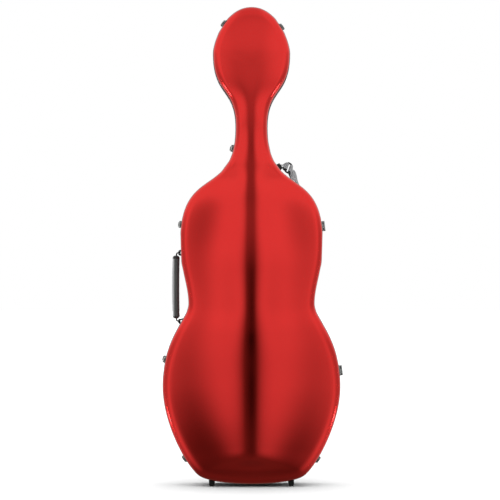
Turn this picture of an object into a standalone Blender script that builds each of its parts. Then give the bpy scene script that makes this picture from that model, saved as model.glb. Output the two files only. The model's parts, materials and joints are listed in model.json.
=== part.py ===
# Cello case standing on its feet. Metres, +Z up, the lid faces -Y, the two halves meet at y = 0.
import bpy
import bmesh
import numpy as np
from math import sin, cos, pi, radians, ceil
from mathutils import Vector, Matrix
from mathutils.bvhtree import BVHTree

for old in list(bpy.data.objects):
    bpy.data.objects.remove(old, do_unlink=True)

# Clearances
gap = 0.0003            # between pieces that touch
seamGap = 0.00015       # each half stays this far from the seam plane
softGap = 0.0006        # around padding and webbing

# Half outline of the rim, from top centre down the right side to bottom centre:
# half width, height, heading in degrees, handle before, handle after
outline = [
    (0.0000, 1.3300, 0.0, 0.0000, 0.0750),
    (0.1074, 1.2008, -90.0, 0.0280, 0.1216),
    (0.0448, 0.9940, -90.0, 0.1119, 0.2000),
    (0.1986, 0.6760, -90.0, 0.2225, 0.0746),
    (0.1752, 0.5060, -90.0, 0.0514, 0.0436),
    (0.2470, 0.2760, -90.0, 0.1406, 0.0972),
    (0.1500, 0.0320, -138.2, 0.0514, 0.0355),
    (0.0000, 0.0060, -180.0, 0.0307, 0.0000),
]
chordSag = 0.0040       # how far a flat of the rim may stay inside the true curve
longestFlat = 0.115

# Shells and the metal edge between them
shellWall = 0.0035
valanceLeg = 0.0014
shellInset = valanceLeg + gap
valanceDepth = 0.0080
valanceWeb = 0.0026
tongueHeight = 0.0012
tongueWide = 0.0016
linerThick = 0.0080

# Form of each half. Walls: height, straight wall depth, corner run-in, depth at a full corner's end.
# Ridge: height, depth. Swell: height, share of a plain dome in the face, how the rest crowds to the ridge.
lidWall = [
    (0.006, 0.037, 0.040, 0.061), (0.276, 0.039, 0.038, 0.063), (0.506, 0.070, 0.034, 0.094),
    (0.676, 0.062, 0.029, 0.086), (0.830, 0.059, 0.025, 0.083), (0.905, 0.086, 0.021, 0.110),
    (0.994, 0.083, 0.022, 0.107), (1.080, 0.065, 0.026, 0.089), (1.200, 0.040, 0.030, 0.064),
    (1.330, 0.021, 0.034, 0.045),
]
lidRidge = [
    (0.045, 0.081), (0.100, 0.094), (0.200, 0.116), (0.300, 0.131), (0.440, 0.150), (0.600, 0.149),
    (0.800, 0.132), (0.900, 0.122), (0.994, 0.113), (1.080, 0.101), (1.200, 0.078), (1.300, 0.063),
]
lidSwell = [
    (0.100, 0.44, 2.10), (0.200, 0.49, 1.96), (0.320, 0.50, 1.71), (0.450, 0.49, 1.53), (0.600, 0.48, 1.58),
    (0.750, 0.47, 1.91), (0.900, 0.59, 1.08), (1.050, 0.76, 1.08), (1.210, 0.82, 1.00),
]
baseWall = [
    (0.006, 0.070, 0.034, 0.104), (0.276, 0.078, 0.036, 0.114), (0.506, 0.078, 0.036, 0.114),
    (0.676, 0.078, 0.036, 0.114), (0.830, 0.072, 0.034, 0.106), (0.905, 0.060, 0.029, 0.092),
    (0.994, 0.056, 0.028, 0.086), (1.080, 0.056, 0.029, 0.083), (1.200, 0.056, 0.032, 0.080),
    (1.330, 0.052, 0.030, 0.076),
]
baseRidge = [
    (0.045, 0.110), (0.100, 0.118), (0.200, 0.129), (0.350, 0.136), (0.500, 0.138), (0.676, 0.136),
    (0.800, 0.124), (0.900, 0.104), (0.994, 0.092), (1.080, 0.090), (1.200, 0.089), (1.300, 0.083),
]
baseSwell = [(0.100, 0.50, 1.40), (0.676, 0.50, 1.40), (0.900, 0.60, 1.20), (1.050, 0.80, 1.00)]
ridgeLow, ridgeHigh, ridgeBlend = 0.069, 1.178, 0.044
flattest = 0.5          # least share of the way to the ridge that counts as away from the rim

# Where things sit on the rim: side (+1 right, -1 left), height
latchSites = {
    "head_left": (-1, 1.2840), "head_right": (1, 1.2746), "neck_left": (-1, 0.9375),
    "upper_left": (-1, 0.7258), "lower_left": (-1, 0.3504),
    "bottom_left": (-1, 0.0754), "bottom_right": (1, 0.0729),
}
handleHeights = (0.6470, 0.4560)
strapHeight = 0.8850
footX = 0.1100
# half length of the flat under each of them
latchFlat, neckFlat, headFlat, hingeFlat = 0.0140, 0.0130, 0.0185, 0.0160
handleFlats = (0.0385, 0.0220)
handleFlatRise = 0.0200  # the upper flat reaches on towards the latch above it
strapFlat, footFlat = 0.0150, 0.0120
flatApart = 0.0120       # flats closer than this grow together

# Latch, in its own frame: x along the rim, y depth behind the seam, z out from the wall
latchWide = 0.0190
latchRound = 0.0022     # the lever's long edges are cut back by this much
latchPlate = (0.0098, 0.0500)
plateThick = 0.0012
cheekThick = 0.0013
leverPivot = (0.0130, 0.0064)
hookPivot = (0.0236, 0.0050)
leverPinR = 0.0012
hookPinR = 0.0011
leverArm = 0.0014
leverTop = 0.0098
leverEnd = 0.0480
coverStart = 0.0285
hookThick = 0.0014
keeperLipAt = 0.0095
keeperEnd = 0.0290

# Hinge
hingeOut = 0.0050       # axis outside the line that touches both bouts
knuckleR = 0.0035
hingePinR = 0.0015
leafLong = 0.0280
leafThick = 0.0015
leafReach = 0.0300

# Handle
handleX = -0.2017
handleY = 0.0400
gripX = -0.2097
gripShort = 0.0075      # the grip ends this far short of the brackets
gripEnds = (handleHeights[0] - gripShort, handleHeights[1] + gripShort)
gripWide, gripDeep = 0.0180, 0.0220
gripSides = 14
earHalf = 0.0048
bracketHalf = 0.0070
bracketFootHalf = 0.0095
bracketThick = 0.0015
bailR = 0.0020
eyeR = 0.0036
handlePinR = 0.0015

# Strap
webWide = 0.0320
webThick = 0.0016
barR = 0.0024
barHeight = 0.0085
bracketY = 0.0420
lowerSeat = (0.1500, 0.1850)    # where the lower bracket sits on the back, x and z
bracketPlate = (0.0125, 0.0018)
bracketPost = (0.0100, 0.0080)  # half width of its posts at the wall and at the top
postClear = 0.0025      # beside the webbing
postThick, postAbove = 0.0030, 0.0032   # and how far they reach above the bar's middle
tabRun = (0.0180, 0.0055, 0.0010)   # from the bracket's bar to the ring
tabLeads = (0.0060, 0.0030)     # how far it runs straight away from the bar and from the ring
ringLean = (-0.38, 0.88, 0.27)  # the way that the ring's bars point, as it hangs
ringHang = (0.75, 0.22, -0.60)  # the way from the tab to the strap through the ring
ringInner = 0.0135
ringEnd, ringCorner = 0.0045, 0.0045     # past the webbing, and how it rounds its corners
strapLeaves = (0.35, 0.55, -0.76)       # the way it leaves the ring
strapArrives = (0.0, 0.10, 1.0)         # the way back up it from the lower bracket
# the strap over the shoulder and down the back: x, y, z
strapRun = ((0.1235, 0.0880, 0.8420), (0.1270, 0.1100, 0.8150), (0.1320, 0.1280, 0.7750),
            (0.1380, 0.1380, 0.7200), (0.1460, 0.1430, 0.6200), (0.1500, 0.1440, 0.4700),
            (0.1500, 0.1430, 0.3300))
strapTurns = 0.085      # length in which it turns to lie flat on the back
foldEnds = (0.0250, 0.0280)     # sewn end of the strap, and where its own run starts
foldCloses = (0.0170, 0.0095)   # where the sewn end lies flat, and where it starts to open round a bar

# Feet
footWide = 0.0160
frontFoot = (-0.0310, -0.0110)
rearFoot = (0.0450, 0.0690)

# Padding and bow holder
endBlockThick = 0.0300
endBlockDepths = (0.0120, 0.0620)
endNotch = (0.0130, 0.0160)     # half width and depth of the notch for the endpin
shoulderHeights = (0.850, 0.775)
shoulderThick = 0.0260
shoulderDepths = (0.0120, 0.0640)
cradleZ = (0.968, 1.030)
cradleTop = 0.0135
neckRest = (0.0190, 0.0300)     # half width and depth of the hollow for the neck
neckStrapHalf = 0.0160
bowX = -0.1050
blockZ = (0.150, 0.190)
blockHalf = 0.0220
blockHigh = 0.0140
bowGroove = (0.0100, 0.0070, 0.0060)    # half width at the top, at the floor, floor above the block's foot
buttonOff = 0.0160
pouchZ = (0.700, 0.800)
pouchHalf = 0.0300
pouchHigh = 0.0180


def material(name, colour, roughness, metallic):
    mat = bpy.data.materials.new(name)
    mat.use_nodes = True
    shader = mat.node_tree.nodes["Principled BSDF"]
    shader.inputs["Base Color"].default_value = (*colour, 1.0)
    shader.inputs["Roughness"].default_value = roughness
    shader.inputs["Metallic"].default_value = metallic
    mat.diffuse_color = (*colour, 1.0)
    return mat


looks = {
    "lacquer": ((0.62, 0.022, 0.022), 0.22, 0.3),
    "trim": ((0.30, 0.30, 0.31), 0.38, 1.0),
    "nickel": ((0.26, 0.26, 0.27), 0.30, 1.0),
    "steel": ((0.05, 0.05, 0.055), 0.35, 1.0),
    "leather": ((0.020, 0.020, 0.021), 0.55, 0.0),
    "webbing": ((0.16, 0.16, 0.165), 0.85, 0.0),
    "rubber": ((0.012, 0.012, 0.012), 0.70, 0.0),
    "velour": ((0.035, 0.035, 0.040), 0.95, 0.0),
    "foam": ((0.055, 0.055, 0.060), 0.95, 0.0),
}


def place(name, mesh, look, matrix=None, smooth=None):
    ob = bpy.data.objects.new(name, mesh)
    bpy.context.scene.collection.objects.link(ob)
    mesh.materials.clear()
    mesh.materials.append(material(name, *looks[look]))
    if matrix is not None:
        ob.matrix_world = matrix
    for face in mesh.polygons:
        face.use_smooth = smooth is not None
    if smooth is not None:
        mesh.set_sharp_from_angle(angle=radians(smooth))
    return ob


def meshOf(bm, name="shape"):
    bmesh.ops.recalc_face_normals(bm, faces=bm.faces)
    mesh = bpy.data.meshes.new(name)
    bm.to_mesh(mesh)
    bm.free()
    return mesh


# Solid pieces in a local frame
def prism(profile, low, high, along=0):
    # profile points take the two axes other than the one it runs along
    bm = bmesh.new()
    ends = []
    for level in (low, high):
        ring = []
        for a, b in profile:
            ring.append(bm.verts.new({0: (level, a, b), 1: (a, level, b), 2: (a, b, level)}[along]))
        ends.append(ring)
    bm.faces.new(ends[0])
    bm.faces.new(reversed(ends[1]))
    for i in range(len(profile)):
        j = (i + 1) % len(profile)
        bm.faces.new((ends[0][i], ends[1][i], ends[1][j], ends[0][j]))
    return meshOf(bm)


def block(x, y, z):
    return prism([(y[0], z[0]), (y[1], z[0]), (y[1], z[1]), (y[0], z[1])], x[0], x[1])


def circle(a, b, r, sides, turn=0.5):
    return [(a + r * cos(2 * pi * (k + turn) / sides), b + r * sin(2 * pi * (k + turn) / sides))
            for k in range(sides)]


def rod(a, b, r, low, high, along=0, sides=8):
    return prism(circle(a, b, r, sides), low, high, along)


def built(parts, cuts=()):
    # one solid out of overlapping solids, less the cuts
    made = []
    for mesh in list(parts) + list(cuts):
        ob = bpy.data.objects.new("work", mesh)
        bpy.context.scene.collection.objects.link(ob)
        made.append(ob)
    body = made[0]
    for k, other in enumerate(made[1:], 1):
        mod = body.modifiers.new("bool%d" % k, "BOOLEAN")
        mod.solver = "EXACT"
        mod.operation = "UNION" if k < len(parts) else "DIFFERENCE"
        mod.object = other
    graph = bpy.context.evaluated_depsgraph_get()
    graph.update()
    mesh = bpy.data.meshes.new_from_object(body.evaluated_get(graph))
    for ob in made:
        bpy.data.objects.remove(ob, do_unlink=True)
    bm = bmesh.new()
    bm.from_mesh(mesh)
    bmesh.ops.remove_doubles(bm, verts=bm.verts, dist=0.00002)
    bmesh.ops.dissolve_limit(bm, angle_limit=radians(0.5), verts=bm.verts, edges=bm.edges)
    bpy.data.meshes.remove(mesh)
    return meshOf(bm)


def moved(mesh, matrix):
    copy = mesh.copy()
    copy.transform(matrix)
    return copy


# The rim curve
def dense(stations, count=240):
    pts = []
    for a, b in zip(stations[:-1], stations[1:]):
        ha, hb = radians(a[2]), radians(b[2])
        p = [np.array(a[:2]), np.array(a[:2]) + a[4] * np.array([cos(ha), sin(ha)]),
             np.array(b[:2]) - b[3] * np.array([cos(hb), sin(hb)]), np.array(b[:2])]
        for t in np.linspace(0, 1, count, endpoint=False):
            u = 1 - t
            pts.append(u**3 * p[0] + 3 * u * u * t * p[1] + 3 * u * t * t * p[2] + t**3 * p[3])
    pts.append(np.array(stations[-1][:2]))
    return np.array(pts)


curve = dense(outline)
steps = np.hypot(*np.diff(curve, axis=0).T)
run = np.concatenate([[0], np.cumsum(steps)])
heading = np.unwrap(np.arctan2(*np.diff(curve, axis=0).T[::-1]))
bend = np.abs(np.gradient(heading, run[:-1]))
bend = np.convolve(bend, np.ones(41) / 41, mode="same")


def runAtHeight(z):
    return float(run[1:-1][np.argmin(np.abs(curve[1:-1, 1] - z))])


def onCurve(s):
    return np.array([np.interp(s, run, curve[:, 0]), np.interp(s, run, curve[:, 1])])


# The line that touches upper and lower bout carries the hinges
upperPart = curve[(curve[:, 1] > 0.60) & (curve[:, 1] < 0.80)]
lowerPart = curve[(curve[:, 1] > 0.20) & (curve[:, 1] < 0.42)]
upperTouch, lowerTouch = upperPart[0], lowerPart[0]
for _ in range(20):
    d = upperTouch - lowerTouch
    out = np.array([d[1], -d[0]]) / np.hypot(*d)
    upperTouch = upperPart[np.argmax(upperPart @ out)]
    lowerTouch = lowerPart[np.argmax(lowerPart @ out)]
axisUp = Vector((upperTouch[0] - lowerTouch[0], 0, upperTouch[1] - lowerTouch[1])).normalized()
axisOut = Vector((axisUp.z, 0, -axisUp.x))
axisPoint = Vector((lowerTouch[0], 0, lowerTouch[1])) + axisOut * hingeOut

# Every piece that sits on the wall gets a flat of its own there
footRun = run[-1] - np.interp(footX, curve[::-1, 0][:400], (run[-1] - run)[::-1][:400])


def midHeight(*sites):
    return sum(latchSites[site][1] for site in sites) / len(sites)


flats = [(runAtHeight(midHeight("head_left", "head_right")), headFlat),
         (runAtHeight(midHeight("neck_left")), neckFlat),
         (runAtHeight(strapHeight), strapFlat),
         (runAtHeight(upperTouch[1]), hingeFlat),
         (runAtHeight(handleHeights[0] + handleFlatRise), handleFlats[0]),
         (runAtHeight(handleHeights[1]), handleFlats[1]),
         (runAtHeight(midHeight("lower_left")), neckFlat),
         (runAtHeight(lowerTouch[1]), hingeFlat),
         (runAtHeight(midHeight("bottom_left", "bottom_right")), latchFlat),
         (float(footRun), footFlat)]
flats.sort()
edges = [[c - h, c + h] for c, h in flats]
for a, b in zip(edges[:-1], edges[1:]):
    if b[0] < a[1] + flatApart:
        a[1] = b[0] = (a[1] + b[0]) / 2
weight = np.sqrt(bend / (8 * chordSag)) + 0.25 / longestFlat
weightRun = np.concatenate([[0], np.cumsum(weight * steps)])
stops = [0.0] + [v for e in edges for v in e] + [float(run[-1])]
samples = [0.0]
for k, (a, b) in enumerate(zip(stops[:-1], stops[1:])):
    if b - a < 1e-6:
        continue
    wa, wb = np.interp([a, b], run, weightRun)
    count = 1 if k % 2 else max(1, ceil(wb - wa), ceil((b - a) / longestFlat))
    samples += [float(np.interp(v, weightRun, run)) for v in np.linspace(wa, wb, count + 1)[1:]]
half = [onCurve(s) for s in samples]
half[0][0] = half[-1][0] = 0.0
rim = half + [np.array([-p[0], p[1]]) for p in half[-2:0:-1]]
rimCount = len(rim)


def inset(amounts):
    # the rim moved inward, each flat parallel to itself
    amounts = np.broadcast_to(amounts, (rimCount,))
    pts = []
    for i, p in enumerate(rim):
        d0 = p - rim[i - 1]
        d1 = rim[(i + 1) % rimCount] - p
        n0 = np.array([-d0[1], d0[0]]) / np.hypot(*d0)
        n1 = np.array([-d1[1], d1[0]]) / np.hypot(*d1)
        m = (n0 + n1) / np.hypot(*(n0 + n1))
        pts.append(p - m * amounts[i] / (m @ n0))
    return np.array(pts)


def smoothTable(table, column, levels):
    # monotone curve through the listed values
    zs = np.array([row[0] for row in table])
    vs = np.array([row[column] for row in table])
    h = np.diff(zs)
    slopes = np.diff(vs) / h
    tang = np.zeros(len(zs))
    for k in range(1, len(zs) - 1):
        if slopes[k - 1] * slopes[k] > 0:
            w1, w2 = 2 * h[k] + h[k - 1], h[k] + 2 * h[k - 1]
            tang[k] = (w1 + w2) / (w1 / slopes[k - 1] + w2 / slopes[k])
    z = np.clip(levels, zs[0], zs[-1])
    k = np.clip(np.searchsorted(zs, z, side="right") - 1, 0, len(zs) - 2)
    t = (z - zs[k]) / h[k]
    return ((1 + 2 * t) * (1 - t)**2 * vs[k] + t * (1 - t)**2 * h[k] * tang[k]
            + t * t * (3 - 2 * t) * vs[k + 1] + t * t * (t - 1) * h[k] * tang[k + 1])


def slopeOf(table, column, levels, apart=0.003):
    upper, lower = (smoothTable(table, column, levels + k * apart) for k in (1, -1))
    return (upper - lower) / (2 * apart)


def spineHeight(z):
    # heights near the two ends of the ridge gather towards them
    z = ridgeLow + ridgeBlend * np.logaddexp(0, (z - ridgeLow) / ridgeBlend)
    return ridgeHigh - ridgeBlend * np.logaddexp(0, (ridgeHigh - z) / ridgeBlend)


rimArray = np.array(rim)
rimAlong = np.roll(rimArray, -1, axis=0) - np.roll(rimArray, 1, axis=0)
rimOut = np.stack([-rimAlong[:, 1], rimAlong[:, 0]], axis=1) / np.hypot(*rimAlong.T)[:, None]


# Shell surfaces. The ridge that runs down the middle of both halves is the shape that takes most care:
# a rounded corner follows the rim, and from its end the face swells to the ridge in an S curve.
# Near its two ends the face leans on the ridge line carried on, so that it closes without a peak.
def shellRows(form, depthIn, startDepth, corners, faces):
    walls, ridge, swells = form
    level, runIn, edge = (smoothTable(walls, c, rimArray[:, 1]) for c in (1, 2, 3))
    high, deep = edge - level - depthIn, runIn - depthIn
    rows = []

    def row(ring, depth):
        depth = np.broadcast_to(depth, (rimCount,))
        rows.append([(p[0], d, p[1]) for p, d in zip(ring, depth)])

    # the corner turns until its slope meets the slope that the face starts with
    turn = np.full(rimCount, pi / 2)
    for _ in range(4):
        last = inset(shellInset + runIn - deep * np.cos(turn))
        spine = spineHeight(last[:, 1])
        dome, crowd = (smoothTable(swells, c, spine) for c in (1, 2))
        swell = smoothTable(ridge, 1, last[:, 1]) - depthIn - level - high * np.sin(turn)
        toSpine = np.stack([-last[:, 0], spine - last[:, 1]], axis=1)
        length = np.hypot(*toSpine.T)
        facing = np.maximum(-(toSpine * rimOut).sum(axis=1) / length, flattest)
        slope = (2 * dome * swell + slopeOf(ridge, 1, last[:, 1]) * toSpine[:, 1]) / length / facing
        turn = np.arctan2(high, deep * np.maximum(slope, 0))
    wall = inset(shellInset + depthIn)
    row(wall, startDepth)
    row(wall, level)
    for share in corners:
        row(inset(shellInset + runIn - deep * np.cos(turn * share)), level + high * np.sin(turn * share))
    for u in faces:
        v = u**crowd
        rise = (1 - dome) * v * v * (3 - 2 * v) + dome * u * (2 - u)
        ring = last + toSpine * u
        row(ring, smoothTable(ridge, 1, ring[:, 1]) - depthIn - swell * (1 - rise))
    return rows


def tray(side, form, outer, inner, start, outerCorners, innerCorners, faces):
    bm = bmesh.new()
    index = {}

    def vert(co):
        key = (round(co[0], 7), round(co[1], 7), round(co[2], 7))
        if key not in index:
            index[key] = bm.verts.new((co[0], side * co[1], co[2]))
        return index[key]

    def strip(a, b):
        for i in range(rimCount):
            j = (i + 1) % rimCount
            loop = []
            for co in (a[i], a[j], b[j], b[i]):
                v = vert(co)
                if v not in loop:
                    loop.append(v)
            if len(loop) > 2:
                bm.faces.new(loop)

    outerRows = shellRows(form, outer, start, outerCorners, faces)
    innerRows = shellRows(form, inner, start, innerCorners, faces)
    for rows in (outerRows, innerRows):
        for a, b in zip(rows[:-1], rows[1:]):
            strip(a, b)
    strip(outerRows[0], innerRows[0])
    return meshOf(bm)


def channel(side, section):
    # closed section swept round the rim: pairs of distance inward from the outline and depth
    bm = bmesh.new()
    rings = []
    for inward, depth in section:
        rings.append([bm.verts.new((p[0], side * depth, p[1])) for p in inset(inward)])
    for k in range(len(rings)):
        a, b = rings[k], rings[(k + 1) % len(rings)]
        for i in range(rimCount):
            j = (i + 1) % rimCount
            bm.faces.new((a[i], a[j], b[j], b[i]))
    return meshOf(bm)


shellStart = valanceWeb + seamGap + gap
thirds, halves, whole = (1 / 3, 2 / 3, 1.0), (0.5, 1.0), (1.0,)
faceSteps = (0.28, 0.54, 0.78, 1.0)
baseForm, lidForm = (baseWall, baseRidge, baseSwell), (lidWall, lidRidge, lidSwell)
baseShell = place("base_shell", tray(1, baseForm, 0.0, shellWall, shellStart, thirds, halves, faceSteps),
                  "lacquer", smooth=35)
lidShell = place("lid_shell", tray(-1, lidForm, 0.0, shellWall, shellStart, thirds, halves, faceSteps),
                 "lacquer", smooth=35)

valanceWide = shellInset + shellWall + linerThick * 0.4
ridgeMid = shellInset + shellWall / 2
web = seamGap + valanceWeb
bracket = [(valanceWide, seamGap), (valanceWide, web), (valanceLeg, web), (valanceLeg, valanceDepth),
           (0.0, valanceDepth), (0.0, seamGap)]
baseSection = bracket + [(ridgeMid - tongueWide / 2, seamGap), (ridgeMid, -tongueHeight),
                         (ridgeMid + tongueWide / 2, seamGap)]
grooveWide = tongueWide + 4 * gap
lidSection = bracket + [(ridgeMid - grooveWide / 2, seamGap), (ridgeMid, tongueHeight + 2 * gap),
                        (ridgeMid + grooveWide / 2, seamGap)]
place("base_valance", channel(1, baseSection), "trim")
place("lid_valance", channel(-1, lidSection), "trim")

linerOuter = shellWall + gap
linerInner = linerOuter + linerThick
linerStart = web + gap
baseLiner = place("base_liner", tray(1, baseForm, linerOuter, linerInner, linerStart, whole, whole, faceSteps),
                  "velour", smooth=50)
lidLiner = place("lid_liner", tray(-1, lidForm, linerOuter, linerInner, linerStart, whole, whole, faceSteps),
                 "velour", smooth=50)


# Frames on the wall: x along the rim, y to the back, z out of the wall, origin on the shell at the seam
def wallFrame(side, z):
    for i in range(rimCount):
        a, b = rim[i], rim[(i + 1) % rimCount]
        if side * (a[0] + b[0]) > 0 and min(a[1], b[1]) <= z <= max(a[1], b[1]):
            break
    d = b - a
    p = a + d * (z - a[1]) / d[1]
    n = Vector((-d[1], 0, d[0])).normalized()
    t = Vector((0, 1, 0)).cross(n)
    origin = Vector((p[0], 0, p[1])) - n * shellInset
    return Matrix((
        (t.x, 0, n.x, origin.x), (t.y, 1, n.y, origin.y), (t.z, 0, n.z, origin.z), (0, 0, 0, 1)))


# Latches: a plate with two cheeks, a forked lever, a hook that hangs in the fork, and a lipped keeper
def shifted(mesh, pivot):
    mesh.transform(Matrix.Translation((0, -pivot[0], -pivot[1])))
    return mesh


w = latchWide / 2
cheekIn = w - cheekThick
armOut = cheekIn - gap
armIn = armOut - leverArm
hookHalf = armIn - 0.0010
plateTop = gap + plateThick
cheek = [(latchPlate[0], gap), (0.0205, gap), (0.0205, 0.0030), (0.0165, 0.0084), (0.0108, 0.0084),
         (latchPlate[0], 0.0068)]
plateMesh = built(
    [block((-w, w), latchPlate, (gap, plateTop)), prism(cheek, cheekIn, w), prism(cheek, -w, -cheekIn),
     rod(*leverPivot, leverPinR, armIn - 0.0002, w - 0.0004, sides=6),
     rod(*leverPivot, leverPinR, -w + 0.0004, -armIn + 0.0002, sides=6)])
nose = [(leverPivot[0] + 0.0029 * cos(radians(a)), leverPivot[1] + 0.0029 * sin(radians(a)))
        for a in (260, 205, 150, 95)]
arm = nose + [(coverStart + 0.002, leverTop), (coverStart + 0.002, leverTop - 0.0016),
              (hookPivot[0] + 0.0031, hookPivot[1] - 0.0014), (hookPivot[0] + 0.0010, hookPivot[1] - 0.0026),
              (hookPivot[0] - 0.0010, hookPivot[1] - 0.0026)]
cover = [(coverStart, leverTop - 0.0016), (leverEnd - 0.006, leverTop - 0.0016), (leverEnd, leverTop + 0.0005),
         (leverEnd, leverTop + 0.0021), (leverEnd - 0.0055, leverTop), (coverStart, leverTop)]
bevelled = []
for s in (-1, 1):
    edge, over, beyond = armOut - latchRound, armOut + 0.001, leverTop + latchRound
    wedge = [(s * over, leverTop - latchRound), (s * armOut, leverTop - latchRound),
             (s * edge, leverTop), (s * edge, beyond), (s * over, beyond)]
    bevelled.append(prism(wedge, coverStart - 0.001, leverEnd + 0.001, along=1))
leverMesh = built(
    [prism(cover, -armOut, armOut), prism(arm, armIn, armOut), prism(arm, -armOut, -armIn),
     rod(*hookPivot, hookPinR, -armIn - 0.0005, armIn + 0.0005, sides=6)],
    [rod(*leverPivot, leverPinR + gap + 0.0001, armIn - 0.001, armOut + 0.001),
     rod(*leverPivot, leverPinR + gap + 0.0001, -armOut - 0.001, -armIn + 0.001)] + bevelled)
shifted(leverMesh, leverPivot)
hookIn = keeperLipAt + 0.0015 + gap
hookOut = hookIn + hookThick
hookTop = hookPivot[1] + hookThick / 2
hookLow = hookTop - hookThick
hookShape = [(hookPivot[0], hookTop), (-hookOut, hookTop), (-hookOut, plateTop + 0.0005),
             (-hookIn, plateTop + 0.0005), (-hookIn, hookLow), (hookPivot[0], hookLow)]
hookMesh = built([prism(hookShape, -hookHalf, hookHalf), rod(*hookPivot, 0.0025, -hookHalf, hookHalf)],
                 [rod(*hookPivot, hookPinR + gap + 0.0001, -hookHalf - 0.001, hookHalf + 0.001)])
shifted(hookMesh, hookPivot)
keeper = [(-keeperEnd, gap), (-keeperLipAt, gap), (-keeperLipAt, hookLow - gap),
          (-keeperLipAt - 0.0015, hookLow - gap), (-keeperLipAt - 0.0015, plateTop), (-keeperEnd, plateTop)]
keeperMesh = prism(keeper, -w, w)
for site, (side, z) in latchSites.items():
    frame = wallFrame(side, z)
    place("latch_plate_" + site, plateMesh.copy(), "nickel", frame)
    place("latch_keeper_" + site, keeperMesh.copy(), "nickel", frame)
    place("latch_lever_" + site, leverMesh.copy(), "nickel", frame @ Matrix.Translation((0, *leverPivot)))
    place("latch_hook_" + site, hookMesh.copy(), "nickel", frame @ Matrix.Translation((0, *hookPivot)))

# Hinges on the touching line
knuckles = (0.0094, 0.0092)    # each outer one, the middle one
wallToAxis = hingeOut + shellInset
for label, touch in (("upper", upperTouch), ("lower", lowerTouch)):
    foot = Vector((touch[0], 0, touch[1]))
    centre = axisPoint + axisUp * (foot - axisPoint).dot(axisUp)
    flat = wallFrame(1, touch[1])
    sag = (centre - flat.translation).dot(flat.col[2].xyz) - wallToAxis
    frame = Matrix(((axisUp.x, 0, axisOut.x, centre.x), (0, -1, 0, 0), (axisUp.z, 0, axisOut.z, centre.z),
                    (0, 0, 0, 1)))
    low = -wallToAxis - sag + gap
    over = -hingeOut + 0.0004
    halfLeaf = leafLong / 2
    mid = halfLeaf - knuckles[0]
    for part in ("lid", "base"):
        s = 1 if part == "lid" else -1
        close, drop = knuckleR + 0.0008, valanceDepth + 0.0015
        leaf = [(s * close, over), (s * (drop - 0.0005), over), (s * (drop + 0.0012), low),
                (s * leafReach, low), (s * leafReach, low + leafThick), (s * (drop + 0.0022), low + leafThick),
                (s * (drop + 0.0005), over + leafThick), (s * close, over + leafThick)]
        spans = [(-mid + gap, mid - gap)] if part == "lid" else [(-halfLeaf, -mid), (mid, halfLeaf)]
        solids = [prism(leaf, -halfLeaf, halfLeaf)]
        for a, b in spans:
            tab = [(s * 0.0006, over + 0.0004), (s * (close + 0.001), over),
                   (s * (close + 0.001), over + leafThick), (s * 0.0030, -0.0005), (s * 0.0006, -0.0010)]
            solids += [prism(tab, a, b), rod(0, 0, knuckleR, a, b, sides=12)]
        if part == "lid":
            cuts = [rod(0, 0, hingePinR + gap + 0.0001, -halfLeaf, halfLeaf, sides=8)]
        else:
            solids.append(rod(0, 0, hingePinR, -mid - 0.001, mid + 0.001, sides=8))
            cuts = []
        place("hinge_leaf_%s_%s" % (part, label), built(solids, cuts), "nickel", frame, smooth=40)

# Handle: two wall brackets, a bent rod that swings in them, a stitched grip round the rod
for label, z in zip(("upper", "lower"), handleHeights):
    frame = wallFrame(-1, z)
    t, n = frame.col[0].xyz, frame.col[2].xyz
    if t.z < 0:
        t = -t
    pts = []
    top = gap + bracketThick
    for a, h in ((-bracketFootHalf, gap), (bracketFootHalf, gap), (bracketFootHalf, top)):
        p = frame.translation + t * a + n * h
        pts.append((p.x, p.z))
    outX = handleX - 0.0030
    pts += [(outX, z + earHalf), (outX, z - earHalf)]
    p = frame.translation + t * -bracketFootHalf + n * top
    pts.append((p.x, p.z))
    wallLine = frame.translation + n * (gap + 0.0012)
    slope = t.x / t.z
    slotHalf = 0.0031
    slot = [(handleX - 0.010, z - slotHalf), (handleX - 0.010, z + slotHalf),
            (wallLine.x + slope * (z + slotHalf - wallLine.z), z + slotHalf),
            (wallLine.x + slope * (z - slotHalf - wallLine.z), z - slotHalf)]
    body = built([prism(pts, handleY - bracketHalf, handleY + bracketHalf, along=1)],
                 [prism(slot, handleY - bracketHalf - 0.001, handleY + bracketHalf + 0.001, along=1)])
    pinned = built([body, rod(handleX, handleY, handlePinR, z - earHalf + 0.0008, z + earHalf - 0.0008,
                              along=2)])
    place("handle_bracket_" + label, pinned, "steel")


def tube(points, radius, sides, closed=False, squash=None):
    # round bar along a bent line
    bm = bmesh.new()
    rings = []
    pts = [Vector(p) for p in points]
    normal = None
    for i, p in enumerate(pts):
        if closed:
            d = pts[(i + 1) % len(pts)] - pts[i - 1]
        else:
            d = pts[min(i + 1, len(pts) - 1)] - pts[max(i - 1, 0)]
        d.normalize()
        if normal is None:
            normal = d.orthogonal().normalized()
        normal = (normal - d * normal.dot(d)).normalized()
        other = d.cross(normal)
        turns = [2 * pi * k / sides for k in range(sides)]
        rings.append([bm.verts.new(p + radius * (cos(a) * normal + sin(a) * other)) for a in turns])
    count = len(rings) if closed else len(rings) - 1
    for i in range(count):
        a, b = rings[i], rings[(i + 1) % len(rings)]
        for k in range(sides):
            m = (k + 1) % sides
            bm.faces.new((a[k], a[m], b[m], b[k]))
    if not closed:
        bm.faces.new(rings[0])
        bm.faces.new(list(reversed(rings[-1])))
    return meshOf(bm)


def bent(corners, radius, steps=2):
    # a line with its corners rounded
    pts = [Vector(corners[0])]
    for a, b, c in zip(corners[:-2], corners[1:-1], corners[2:]):
        a, b, c = Vector(a), Vector(b), Vector(c)
        u, v = (a - b).normalized(), (c - b).normalized()
        for k in range(steps + 1):
            t = k / steps
            p0, p2 = b + u * radius, b + v * radius
            pts.append(p0 * (1 - t)**2 + b * 2 * t * (1 - t) + p2 * t * t)
    pts.append(Vector(corners[-1]))
    return pts


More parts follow.
